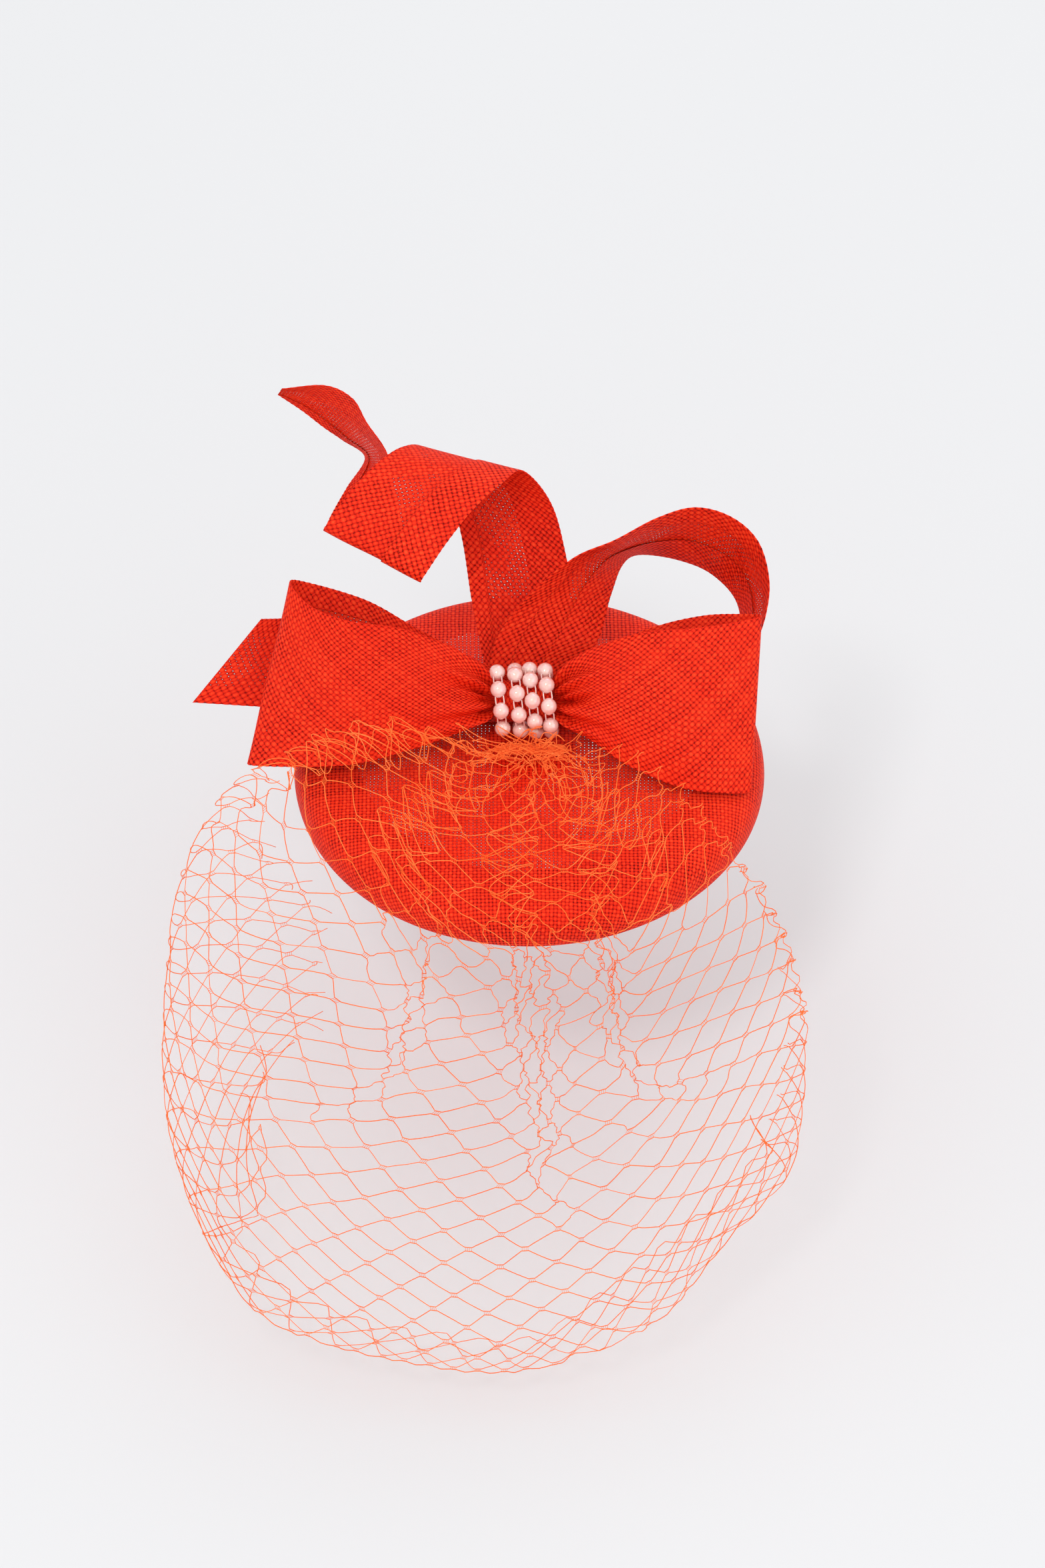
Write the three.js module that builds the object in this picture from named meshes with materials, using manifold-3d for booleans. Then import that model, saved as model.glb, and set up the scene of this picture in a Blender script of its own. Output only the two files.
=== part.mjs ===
// A sinamay button fascinator: a shallow round base worn on a hair comb, with a
// two-loop bow, two springy curls, a wrap of pearl trim and a gathered face veil.
// Millimetres. The rim lies in z = 0, +Z runs up through the crown, -Y is the front.

import * as THREE from 'three'
import Module from 'manifold-3d'
import { mergeVertices } from 'three/addons/utils/BufferGeometryUtils.js'

const wasm = await Module()
wasm.setup()

// ---- driving dimensions -----------------------------------------------------

const clothThickness = 1.2 // a folded sinamay strip, pressed
const roundSegments = 56 // sides of the round base

const ribbon = { outer: 76.8, inner: 76.0, bottom: 0.8, top: 11.5 }
const rimWire = { ring: 79.4, height: 2.4, radius: 0.6 }

const comb = {
  halfWidth: 33,
  spineBack: -67,
  spineFront: -62,
  tip: -27,
  bottom: 3,
  thickness: 2,
  teeth: 15,
  toothWidth: 1.9,
  rise: 4.5,
}
const combStitch = { turns: 3, thread: 0.35, reachY: 4, reachZ: 2.2, gapsFromMiddle: 5 }

const felt = { radius: 16, bottom: 15.4, top: 16.9 }
const trimBase = { left: -18, right: 16, front: 8.5, back: 30, bottom: 18.7, top: 19.8 }

// The trim is drawn on a face that is tilted back by this angle from upright:
// x across, v up the face and n out of it, all measured from the rim's centre.
const trimTilt = 45

const knot = { v: 27.5, n: 17.2, left: -11.5, right: 7.8, wall: 1.2, halfV: 7.6, halfN: 5.6 }
const pearl = { radius: 2.9, pitch: 7.6, clear: 0.35, threadGap: 2.9, threadRadius: 0.2 }
const pearlColumns = [
  { x: -10.4, beads: 6, shift: 0 },
  { x: -4.1, beads: 6, shift: 0.6 },
  { x: 1.6, beads: 5, shift: 0 },
  { x: 7.4, beads: 6, shift: 0 },
]

const gather = { v: 10.4, n: 20.6, radius: 2.2, left: -12, right: 13 }
const gatherThread = { turns: 7, radius: 0.2, clear: 0.5 }

const veilThickness = 1

// ---- the base's profiles, (radius, height) ----------------------------------

const crownOutside = [
  [0, 18.5], [20, 18.3], [40, 17.5], [56, 16.7], [64, 16.2], [70, 15.9],
  [75, 15.2], [79, 13.6], [81.4, 10.8], [82.4, 7], [82.5, 4], [82, 1.6],
  [81, 0.3], [79.6, 0], [78.4, 0.4], [77.6, 1.6], [77.2, 4], [77.2, 8],
]
const crownInside = [
  [78.2, 8], [78.2, 4], [78.4, 2.2], [79.2, 1.2], [80.2, 1.2], [81, 2.2],
  [81.5, 4], [81.4, 7], [80.5, 10.2], [78.4, 12.7], [74.8, 14.2], [70, 14.9],
  [64, 15.2], [40, 16.5], [20, 17.3], [0, 17.5],
]
const facingProfile = [
  [64, 14.85], [70, 14.55], [74.6, 13.85], [78.1, 12.35], [80.15, 9.9],
  [81.05, 6.9], [81.1, 4], [80.9, 3.2], [80.3, 3.2], [80.3, 4], [80.25, 6.8],
  [79.4, 9.5], [77.6, 11.7], [74.3, 13.05], [70, 13.75], [64, 14.05],
]

// ---- the strips --------------------------------------------------------------
// Each row is one line across a strip: one edge (x, v, n), the other edge
// (x, v, n), and how far the middle of that line stands out of the face.

const leftLoop = [
  [-2.6, 31.8, 18.7, -2.6, 23.2, 18.7, 0],
  [-11.8, 32.1, 18.8, -11.8, 22.9, 18.8, 0.2],
  [-17, 38.9, 22.5, -17, 18.8, 22.5, 2],
  [-28, 46, 26, -28, 14.6, 26, 4],
  [-44, 52, 29, -43.9, 9.6, 28.5, 6],
  [-62.8, 54.8, 29, -61.7, 5.3, 29, 6],
  [-76, 60, 26, -82.2, 4.6, 27, 3],
  [-83.4, 68.2, 20, -97.9, 5.5, 21.5, 0],
  [-78, 68.6, 13, -90, 8, 15.5, -2],
  [-57, 62.4, 9.5, -66, 11.5, 14, -2],
  [-40, 53, 9, -44, 14, 14, -1],
  [-25, 45, 10, -25, 17.5, 13.8, 0],
  [-17, 38.5, 12, -17, 20, 14, 0],
  [-11.8, 32, 15.6, -11.8, 23, 15.6, 0],
  [-2.6, 31.8, 15.7, -2.6, 23.2, 15.7, 0],
]

const rightLoop = [
  [-1.4, 31.8, 18.7, -1.4, 23.2, 18.7, 0],
  [8.2, 32.1, 18.8, 8.2, 22.9, 18.8, 0.2],
  [13, 38.9, 22.5, 13, 17.6, 23, 2],
  [22, 45, 26, 21, 13.5, 27.5, 4],
  [38.6, 50.6, 28, 35, 4.6, 31, 6],
  [55, 52, 28, 52, -2.4, 31.5, 6],
  [70, 54, 25, 67, -4.4, 30.5, 3],
  [81, 56.6, 19, 77, -3.5, 28, 0],
  [75, 57.4, 12.5, 73, 4, 23.5, -1.5],
  [61, 57, 8, 58, 9.5, 17.8, -1],
  [43.4, 53, 7.5, 40, 13.5, 15, -0.5],
  [22, 44.5, 9.5, 22, 17, 14, 0],
  [13, 38.5, 12, 13, 19.5, 14.2, 0],
  [8.2, 32, 15.6, 8.2, 23, 15.6, 0],
  [-1.4, 31.8, 15.7, -1.4, 23.2, 15.7, 0],
]

const leftTail = [
  [-7, 36, 8, -7, 27, 8, 0],
  [-22, 43, 6.2, -22, 24, 6.4, 0],
  [-45, 51, 5.2, -46, 23.5, 6.2, 0],
  [-72, 55.8, 5.6, -80, 25, 7, -1],
  [-94, 55.9, 7, -117.5, 27.2, 8.5, 0],
]

const leftCurl = [
  [-12, 26.5, 3.6, 4, 26.5, 3.6, 0],
  [-15.5, 41, 2.6, 7, 41, 2.6, 0],
  [-19.9, 63, 0.5, 14, 63, 0.5, -1],
  [-23.4, 85, -3, 11.5, 84, -2.5, -2],
  [-28.5, 103, 0, 6.5, 98.5, 1, -1],
  [-36, 115.5, 11, -2.5, 107.5, 13, 0],
  [-44, 115.5, 22, -10, 102.5, 25, 0.5],
  [-53, 109, 29.5, -20, 93, 32.5, 1],
  [-62, 99, 33.5, -29, 81.5, 36.5, 1],
  [-70.2, 87.4, 34, -36.7, 70.2, 36, 0.5],
  [-70.6, 86.5, 28, -38, 69.6, 30, 0],
  [-68.5, 92, 21, -42, 78, 24, 0],
  [-63.5, 102, 8, -47, 96, 20, 0],
  [-57.5, 113.5, -9, -49.5, 112.5, 15, 0],
  [-65.6, 119.8, -8, -57, 124.5, 13, -1],
  [-72, 124, -4, -62, 132.8, 13, -1],
  [-79.5, 129.6, 0, -71.5, 137.4, 11, 0],
  [-88, 135, 4, -86.6, 136.6, 6.5, 0],
]

const rightCurl = [
  [-9, 27, 5.9, 9, 27, 5.9, 0],
  [-13.3, 40, 5.6, 16, 39, 5.6, 0],
  [-9, 53, 8, 24, 49, 6, 0.5],
  [2.5, 66.5, 15, 28.4, 65, -2, 2],
  [16, 77.5, 19, 32.6, 75.6, -9, 2],
  [30, 83.4, 20.5, 38, 79.6, -13, 1],
  [44.6, 91, 20, 48, 79, -13, 1],
  [58, 94.6, 19, 59, 76, -13, 1],
  [70.5, 91.4, 16, 67.5, 70.8, -14, 1],
  [80, 83, 12, 73, 64.6, -15, 0],
  [84, 70, 8, 75.1, 57.7, -14, 0],
  [83, 57.5, 5, 75.5, 48, -10, 0],
  [78, 43, 3, 72, 38, -6, 0],
]

// The veil's run from the gather to its hem, which turns under, from the cut end
// at the wearer's right, round the front, to the other side. Points are (x, v, n).
const veilRuns = [
  [
    [-9.5, 7, 22.3], [-46, 12, 41], [-86, -1, 39], [-96, -20, 22],
    [-76, -50, 0], [-80, -84, -3], [-98, -113, 3], [-92, -125, 10],
  ],
  [
    [-9, 7, 22.3], [-49, 14, 44], [-93, 2, 44], [-116, -27, 27],
    [-119, -70, 10], [-115, -112, 8], [-101, -146, 12], [-92, -149, 24],
  ],
  [
    [-8, 7, 22.3], [-47, 13, 46], [-90, 1, 52], [-117, -32, 47],
    [-126, -80, 40], [-124, -123, 38], [-112, -155, 36], [-99, -153, 44],
  ],
  [
    [-6.5, 7, 22.3], [-40, 8, 48], [-74, -11, 61], [-98, -46, 66],
    [-109, -95, 66], [-107, -140, 62], [-98, -178, 54], [-90, -170, 40],
  ],
  [
    [-4.5, 7, 22.3], [-30, 2, 46], [-52, -24, 63], [-68, -60, 72],
    [-79, -106, 74], [-82, -150, 70], [-80, -189, 59], [-74, -180, 43],
  ],
  [
    [-2, 7, 22.3], [-17, -3, 42], [-31, -28, 62], [-41, -64, 73],
    [-49, -110, 76], [-52, -158, 72], [-49, -197, 60], [-45, -188, 43],
  ],
  [
    [0.5, 7, 22.3], [-2, -6, 40], [-4, -31, 62], [-5, -66, 74],
    [-5, -112, 77], [-5, -160, 73], [-4, -201, 60], [-3, -192, 43],
  ],
  [
    [3, 7, 22.3], [13, -3, 42], [24, -28, 62], [31, -63, 72],
    [36, -107, 75], [39, -154, 71], [40, -192, 58], [31, -171, 46],
  ],
  [
    [5.5, 7, 22.3], [25, 2, 44], [45, -17, 59], [60, -46, 67],
    [69, -86, 69], [73, -126, 66], [72, -160, 56], [64, -147, 43],
  ],
  [
    [8, 7, 22.3], [30, 6, 44], [54, -10, 52], [79, -40, 51],
    [92, -75, 49], [94.5, -105, 47], [90, -135, 43], [80, -128, 34],
  ],
  [
    [10, 7, 22.3], [32, 7, 43], [57, -11, 48], [79, -43, 44],
    [88, -76, 36], [88.5, -101, 32], [83, -125, 30], [75, -115, 35],
  ],
]

// ---- small tools ---------------------------------------------------------------

const tilt = THREE.MathUtils.degToRad(trimTilt)

function fromTrim(x, v, n) {
  return new THREE.Vector3(
    x,
    v * Math.cos(tilt) - n * Math.sin(tilt),
    v * Math.sin(tilt) + n * Math.cos(tilt),
  )
}

// A smooth curve through rows of numbers, at t from 0 to 1.
function smoothRow(rows, t) {
  const last = rows.length - 1
  const at = Math.min(Math.max(t, 0), 1) * last
  const i = Math.min(Math.floor(at), last - 1)
  const f = at - i
  const before = rows[Math.max(i - 1, 0)]
  const after = rows[Math.min(i + 2, last)]
  return rows[i].map((b, k) => {
    const a = i > 0 ? before[k] : 2 * b - rows[i + 1][k]
    const c = rows[i + 1][k]
    const d = i + 2 <= last ? after[k] : 2 * c - b
    const linear = c - a
    const square = 2 * a - 5 * b + 4 * c - d
    const cube = 3 * b - a - 3 * c + d
    return b + 0.5 * f * (linear + f * (square + f * cube))
  })
}

function stripSurface(rows) {
  return (u, w) => {
    const r = smoothRow(rows, u)
    const out = r[6] * 4 * w * (1 - w)
    const across = [0, 1, 2].map((k) => r[k] * (1 - w) + r[k + 3] * w)
    return fromTrim(across[0], across[1], across[2] + out)
  }
}

function veilSurface(u, w) {
  const runs = veilRuns.map((run) => smoothRow(run, w))
  return fromTrim(...smoothRow(runs, u))
}

// A closed solid of even thickness on both sides of surface(u, w).
function sheetSolid(surface, along, across, thickness) {
  const step = 1e-3
  const positions = []
  const index = []
  for (const side of [1, -1]) {
    for (let i = 0; i <= along; i++) {
      for (let j = 0; j <= across; j++) {
        const u = i / along
        const w = j / across
        const du = surface(Math.min(u + step, 1), w).sub(surface(Math.max(u - step, 0), w))
        const dw = surface(u, Math.min(w + step, 1)).sub(surface(u, Math.max(w - step, 0)))
        const normal = du.cross(dw).normalize()
        const p = surface(u, w).addScaledVector(normal, (side * thickness) / 2)
        positions.push(p.x, p.y, p.z)
      }
    }
  }
  const row = across + 1
  const under = (along + 1) * row
  const quad = (a, b, c, d) => index.push(a, b, c, a, c, d)
  for (let i = 0; i < along; i++) {
    for (let j = 0; j < across; j++) {
      const a = i * row + j
      quad(a, a + row, a + row + 1, a + 1)
      quad(under + a, under + a + 1, under + a + row + 1, under + a + row)
    }
  }
  for (let i = 0; i < along; i++) {
    const near = i * row
    const far = i * row + across
    quad(near, under + near, under + near + row, near + row)
    quad(far, far + row, under + far + row, under + far)
  }
  for (let j = 0; j < across; j++) {
    const last = along * row + j
    quad(j, j + 1, under + j + 1, under + j)
    quad(last, under + last, under + last + 1, last + 1)
  }
  const geometry = new THREE.BufferGeometry()
  geometry.setAttribute('position', new THREE.Float32BufferAttribute(positions, 3))
  geometry.setIndex(index)
  return geometry
}

// A profile of (radius, height) turned about Z. It starts and ends on the axis
// or closes on itself.
function turned(profile, segments) {
  const points = profile.map(([r, z]) => new THREE.Vector2(r, z))
  const geometry = new THREE.LatheGeometry(points, segments)
  geometry.rotateX(Math.PI / 2)
  return geometry
}

function toManifold(geometry) {
  const bare = geometry.clone()
  bare.deleteAttribute('normal')
  bare.deleteAttribute('uv')
  const merged = mergeVertices(bare, 1e-4)
  const mesh = new wasm.Mesh({
    numProp: 3,
    vertProperties: new Float32Array(merged.attributes.position.array),
    triVerts: new Uint32Array(merged.index.array),
  })
  return new wasm.Manifold(mesh)
}

function toGeometry(manifold) {
  const mesh = manifold.getMesh()
  const geometry = new THREE.BufferGeometry()
  geometry.setAttribute('position', new THREE.Float32BufferAttribute(mesh.vertProperties, 3))
  geometry.setIndex(new THREE.Uint32BufferAttribute(mesh.triVerts, 1))
  return geometry
}

function joined(geometries) {
  return toGeometry(geometries.map(toManifold).reduce((a, b) => a.add(b)))
}

// A round thread along a list of points, closed at both ends.
function thread(points, radius, steps, sides) {
  const section = new THREE.Shape()
  for (let i = 0; i < sides; i++) {
    const a = (2 * Math.PI * i) / sides
    const method = i === 0 ? 'moveTo' : 'lineTo'
    section[method](radius * Math.cos(a), radius * Math.sin(a))
  }
  section.closePath()
  return new THREE.ExtrudeGeometry(section, {
    steps,
    bevelEnabled: false,
    extrudePath: new THREE.CatmullRomCurve3(points),
    curveSegments: 1,
  })
}

// ---- the pieces ------------------------------------------------------------------

function crownShell() {
  return turned([...crownOutside, ...crownInside].reverse(), roundSegments)
}

function crownFacing() {
  return turned([...facingProfile, facingProfile[0]].reverse(), roundSegments)
}

function ring(radius, height, thickness) {
  const geometry = new THREE.TorusGeometry(radius, thickness, 6, roundSegments)
  geometry.translate(0, 0, height)
  return geometry
}

function band({ outer, inner, bottom, top }) {
  const profile = [[inner, bottom], [outer, bottom], [outer, top], [inner, top], [inner, bottom]]
  return turned(profile, roundSegments)
}

const toothPitch = (2 * comb.halfWidth - comb.toothWidth) / (comb.teeth - 1)

// The comb is cut flat and then curved, its teeth rising to follow the head.
function hairComb() {
  const stations = [0, 0.25, 0.5, 0.75, 0.95]
  const outline = [[comb.halfWidth, comb.spineBack], [-comb.halfWidth, comb.spineBack]]
  for (let i = 0; i < comb.teeth; i++) {
    const left = -comb.halfWidth + i * toothPitch
    const middle = left + comb.toothWidth / 2
    const half = (s) => (comb.toothWidth / 2) * (1 - 0.45 * s)
    const y = (s) => comb.spineFront + s * (comb.tip - comb.spineFront)
    stations.forEach((s) => outline.push([middle - half(s), y(s)]))
    outline.push([middle, comb.tip])
    stations.slice().reverse().forEach((s) => outline.push([middle + half(s), y(s)]))
  }
  const shape = new THREE.Shape(outline.map(([x, y]) => new THREE.Vector2(x, y)))
  const geometry = new THREE.ExtrudeGeometry(shape, {
    depth: comb.thickness,
    bevelEnabled: false,
  })
  const place = geometry.attributes.position
  for (let i = 0; i < place.count; i++) {
    const reach = Math.max(0, (place.getY(i) - comb.spineFront) / (comb.tip - comb.spineFront))
    place.setZ(i, place.getZ(i) + comb.bottom + comb.rise * Math.sin((reach * Math.PI) / 2))
  }
  return geometry
}

// One turn of thread between each pair of teeth, round the comb's spine.
function combStitches(side) {
  const { turns, reachY, reachZ, gapsFromMiddle } = combStitch
  const middleY = (comb.spineBack + comb.spineFront) / 2
  const middleZ = comb.bottom + comb.thickness / 2
  const points = []
  for (let i = 0; i <= turns * 8; i++) {
    const a = (i / 8) * 2 * Math.PI
    points.push(new THREE.Vector3(
      side * (gapsFromMiddle + i / 8 - turns / 2) * toothPitch,
      middleY + reachY * Math.cos(a),
      middleZ + reachZ * Math.sin(a),
    ))
  }
  return thread(points, combStitch.thread, turns * 12, 5)
}

function disc(radius, bottom, top) {
  return turned([[0, top], [radius, top], [radius, bottom], [0, bottom]].reverse(), 32)
}

function roundedPad({ left, right, front, back, bottom, top }) {
  const corner = 5
  const shape = new THREE.Shape()
  shape.moveTo(left + corner, front)
  shape.lineTo(right - corner, front)
  shape.quadraticCurveTo(right, front, right, front + corner)
  shape.lineTo(right, back - corner)
  shape.quadraticCurveTo(right, back, right - corner, back)
  shape.lineTo(left + corner, back)
  shape.quadraticCurveTo(left, back, left, back - corner)
  shape.lineTo(left, front + corner)
  shape.quadraticCurveTo(left, front, left + corner, front)
  const depth = top - bottom
  const geometry = new THREE.ExtrudeGeometry(shape, { depth, bevelEnabled: false, curveSegments: 4 })
  geometry.translate(0, 0, bottom)
  return geometry
}

// The strip wound round the bow's middle, as an oval tube along X.
function bowWrap() {
  const { halfV, halfN, wall, left, right } = knot
  const shape = new THREE.Shape()
  shape.absellipse(0, 0, halfV, halfN, 0, 2 * Math.PI)
  const hole = new THREE.Path()
  hole.absellipse(0, 0, halfV - wall, halfN - wall, 0, 2 * Math.PI)
  shape.holes.push(hole)
  const depth = right - left
  const geometry = new THREE.ExtrudeGeometry(shape, { depth, bevelEnabled: false, curveSegments: 20 })
  const place = geometry.attributes.position
  for (let i = 0; i < place.count; i++) {
    const p = fromTrim(left + place.getZ(i), knot.v + place.getX(i), knot.n + place.getY(i))
    place.setXYZ(i, p.x, p.y, p.z)
  }
  return geometry
}

// A point on the oval that the pearls follow, at an arc length from the front.
function pearlPoint(x, arc) {
  const reach = pearl.clear + pearl.radius
  const a = knot.halfV + reach
  const b = knot.halfN + reach
  const steps = 60
  let angle = 0
  for (let i = 0; i < steps; i++) {
    const speed = Math.hypot(a * Math.cos(angle), b * Math.sin(angle))
    angle += arc / steps / speed
  }
  return fromTrim(x, knot.v + a * Math.sin(angle), knot.n + b * Math.cos(angle))
}

// Pearls moulded onto two threads, wrapped over the front of the knot.
function pearlString({ x, beads, shift }) {
  const parts = []
  const first = (-(beads - 1) / 2) * pearl.pitch + shift
  for (let i = 0; i < beads; i++) {
    const bead = new THREE.SphereGeometry(pearl.radius, 10, 7)
    const p = pearlPoint(x, first + i * pearl.pitch)
    bead.translate(p.x, p.y, p.z)
    parts.push(bead)
  }
  for (const side of [-0.5, 0.5]) {
    const points = []
    const steps = (beads - 1) * 2
    for (let i = 0; i <= steps; i++) {
      points.push(pearlPoint(x + side * pearl.threadGap, first + (i / 2) * pearl.pitch))
    }
    parts.push(thread(points, pearl.threadRadius, steps * 2, 4))
  }
  return joined(parts)
}

// The veil's top edge, drawn up into a tight roll.
function veilGather() {
  const { v, n, radius, left, right } = gather
  const length = right - left - 2 * radius
  const geometry = new THREE.CapsuleGeometry(radius, length, 4, 12)
  geometry.rotateZ(Math.PI / 2)
  const middle = fromTrim((left + right) / 2, v, n)
  geometry.translate(middle.x, middle.y, middle.z)
  return geometry
}

function gatherBinding() {
  const { v, n, radius, left, right } = gather
  const { turns, clear } = gatherThread
  const reach = radius + clear + gatherThread.radius
  const span = (right - left) * 0.6
  const points = []
  for (let i = 0; i <= turns * 8; i++) {
    const a = (i / 8) * 2 * Math.PI
    const x = (left + right) / 2 + (i / (turns * 8) - 0.5) * span
    points.push(fromTrim(x, v + reach * Math.cos(a), n + reach * Math.sin(a)))
  }
  return thread(points, gatherThread.radius, turns * 12, 5)
}

// ---- the assembly ------------------------------------------------------------------

const red = 0xe8321c
const paleRed = 0xff6a42
const pearlPink = 0xf7dcd6
const clear = 0xdedede

const group = new THREE.Group()
group.name = 'fascinator'

function piece(name, geometry, color) {
  const mesh = new THREE.Mesh(geometry, new THREE.MeshStandardMaterial({ color }))
  mesh.name = name
  group.add(mesh)
}

const strip = (rows, along) => sheetSolid(stripSurface(rows), along, 4, clothThickness)

piece('crown_shell', crownShell(), red)
piece('crown_facing', crownFacing(), red)
piece('rim_wire', ring(rimWire.ring, rimWire.height, rimWire.radius), clear)
piece('head_ribbon', band(ribbon), red)
piece('hair_comb', hairComb(), clear)
piece('comb_stitches_left', combStitches(-1), red)
piece('comb_stitches_right', combStitches(1), red)
piece('felt_backing', disc(felt.radius, felt.bottom, felt.top), red)
piece('trim_base', roundedPad(trimBase), red)
piece('bow_loop_left', strip(leftLoop, 48), red)
piece('bow_loop_right', strip(rightLoop, 48), red)
piece('bow_tail_left', strip(leftTail, 16), red)
piece('bow_wrap', bowWrap(), red)
piece('curl_left', strip(leftCurl, 60), red)
piece('curl_right', strip(rightCurl, 44), red)
pearlColumns.forEach((column, i) => {
  piece(`pearl_string_${i + 1}`, pearlString(column), pearlPink)
})
piece('veil_gather', veilGather(), paleRed)
piece('gather_thread', gatherBinding(), paleRed)
piece('veil_net', sheetSolid(veilSurface, 40, 21, veilThickness), paleRed)

export default group
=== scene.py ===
# Looks for a sinamay button fascinator: woven base, folded bow strips, pearl
# wrap and knotted veiling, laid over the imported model. Lengths are in metres,
# except in names that end in mm and in the tables of sizes and stations, which
# are in mm.

import math

import bpy
import numpy as np
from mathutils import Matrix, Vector


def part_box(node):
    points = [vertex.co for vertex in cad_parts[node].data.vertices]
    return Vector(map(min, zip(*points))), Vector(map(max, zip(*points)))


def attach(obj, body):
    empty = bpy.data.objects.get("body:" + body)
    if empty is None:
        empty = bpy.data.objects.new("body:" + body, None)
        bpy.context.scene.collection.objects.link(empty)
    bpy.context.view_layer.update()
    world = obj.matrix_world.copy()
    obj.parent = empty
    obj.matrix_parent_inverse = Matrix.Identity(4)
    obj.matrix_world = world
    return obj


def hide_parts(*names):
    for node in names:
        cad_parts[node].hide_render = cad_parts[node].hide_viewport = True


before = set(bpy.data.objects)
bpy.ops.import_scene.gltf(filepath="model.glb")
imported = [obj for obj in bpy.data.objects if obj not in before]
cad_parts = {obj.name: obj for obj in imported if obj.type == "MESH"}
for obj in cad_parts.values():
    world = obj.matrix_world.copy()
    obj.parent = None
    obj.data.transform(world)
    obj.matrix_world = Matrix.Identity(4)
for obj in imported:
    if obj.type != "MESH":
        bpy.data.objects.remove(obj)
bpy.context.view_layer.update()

MM = 0.001
rng = np.random.default_rng(7)


# ---- surfaces --------------------------------------------------------------
# The trim is drawn on a face tilted back from upright: x across, v up the face
# and n out of it, in mm from the middle of the rim.

TRIM_TILT = math.radians(45)


def from_trim(points):
    x, v, n = np.moveaxis(np.asarray(points, float), -1, 0)
    c, s = math.cos(TRIM_TILT), math.sin(TRIM_TILT)
    return stacked(x, v * c - n * s, v * s + n * c) * MM


def smooth_row(rows, t):
    """A smooth curve through rows of numbers, at each t from 0 to 1."""
    rows = np.asarray(rows, float)
    t = np.asarray(t, float)
    padded = np.concatenate([2 * rows[:1] - rows[1:2], rows, 2 * rows[-1:] - rows[-2:-1]])
    last = len(rows) - 1
    at = np.clip(t, 0, 1) * last
    i = np.minimum(at.astype(int), last - 1)
    f = (at - i).reshape(at.shape + (1,) * (rows.ndim - 1))
    a, b, c, d = padded[i], padded[i + 1], padded[i + 2], padded[i + 3]
    cube = 3 * b - a - 3 * c + d
    square = 2 * a - 5 * b + 4 * c - d
    return b + 0.5 * f * ((c - a) + f * (square + f * cube))


def arc_lengths(points):
    """Length from the first point to each point of a line."""
    steps = np.linalg.norm(np.diff(points, axis=0), axis=-1)
    return np.concatenate([[0], np.cumsum(steps)])


def resampled(at, places, points):
    """Points of a line at other places along it."""
    return stacked(*(np.interp(at, places, part) for part in np.transpose(points)))


def unit(vectors):
    length = np.linalg.norm(vectors, axis=-1, keepdims=True)
    return vectors / np.maximum(length, 1e-12)


def normals_of(grid):
    """Unit normals of a grid of points: its first direction crossed with its second."""
    return unit(np.cross(np.gradient(grid, axis=0), np.gradient(grid, axis=1)))


def stacked(*parts):
    """Vectors from their parts, which are arrays or numbers that fit each other."""
    return np.stack(np.broadcast_arrays(*parts), axis=-1)


def around(radius, turn, height):
    """Points at a turn round the upright axis."""
    return stacked(radius * np.cos(turn), radius * np.sin(turn), height)


def smooth_noise(t, spacing, seed):
    """Smooth random values from -1 to 1 along t, one knot every spacing."""
    knots = np.random.default_rng(seed).uniform(-1, 1, int(np.ptp(t) / spacing) + 4)
    at = (t - np.min(t)) / spacing
    i = at.astype(int)
    f = at - i
    f = f * f * (3 - 2 * f)
    return knots[i] * (1 - f) + knots[i + 1] * f


def smoothstep(low, high, x):
    t = np.clip((np.asarray(x, float) - low) / (high - low), 0, 1)
    return t * t * (3 - 2 * t)


# ---- meshes ----------------------------------------------------------------


def new_piece(name, vertices, faces, material, body="headpiece", replaces=None):
    mesh = bpy.data.meshes.new(name)
    mesh.from_pydata(np.asarray(vertices).reshape(-1, 3).tolist(), [], faces)
    mesh.validate()
    mesh.shade_smooth()
    mesh.materials.append(material)
    piece = bpy.data.objects.new(name, mesh)
    bpy.context.scene.collection.objects.link(piece)
    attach(piece, body)
    if replaces:
        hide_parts(replaces)
    return piece


def grid_faces(rows, columns):
    a = np.arange(rows - 1)[:, None] * columns + np.arange(columns - 1)
    b = a + columns
    return stacked(a, b, b + 1, a + 1).reshape(-1, 4).tolist()


def round_mesh(rings, *poles):
    """Rings of points, an array (ring, side, xyz), joined into one skin.

    The first pole closes the first ring, and a second one closes the last.
    """
    count, sides, _ = rings.shape
    side = np.arange(sides)
    following = (side + 1) % sides
    start = np.arange(count - 1)[:, None] * sides
    a, b = start + side, start + following
    faces = stacked(a, b, b + sides, a + sides).reshape(-1, 4).tolist()
    last, pole = (count - 1) * sides, count * sides
    if poles:
        faces += stacked(pole, following, side).tolist()
    if len(poles) > 1:
        faces += stacked(pole + 1, last + side, last + following).tolist()
    return np.vstack([rings.reshape(-1, 3), *poles]), faces


def joined(parts):
    """One mesh from parts, each (vertices, faces)."""
    vertices, faces, offset = [], [], 0
    for part, part_faces in parts:
        vertices.append(part)
        faces += [[offset + k for k in face] for face in part_faces]
        offset += len(part)
    return np.vstack(vertices), faces


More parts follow.
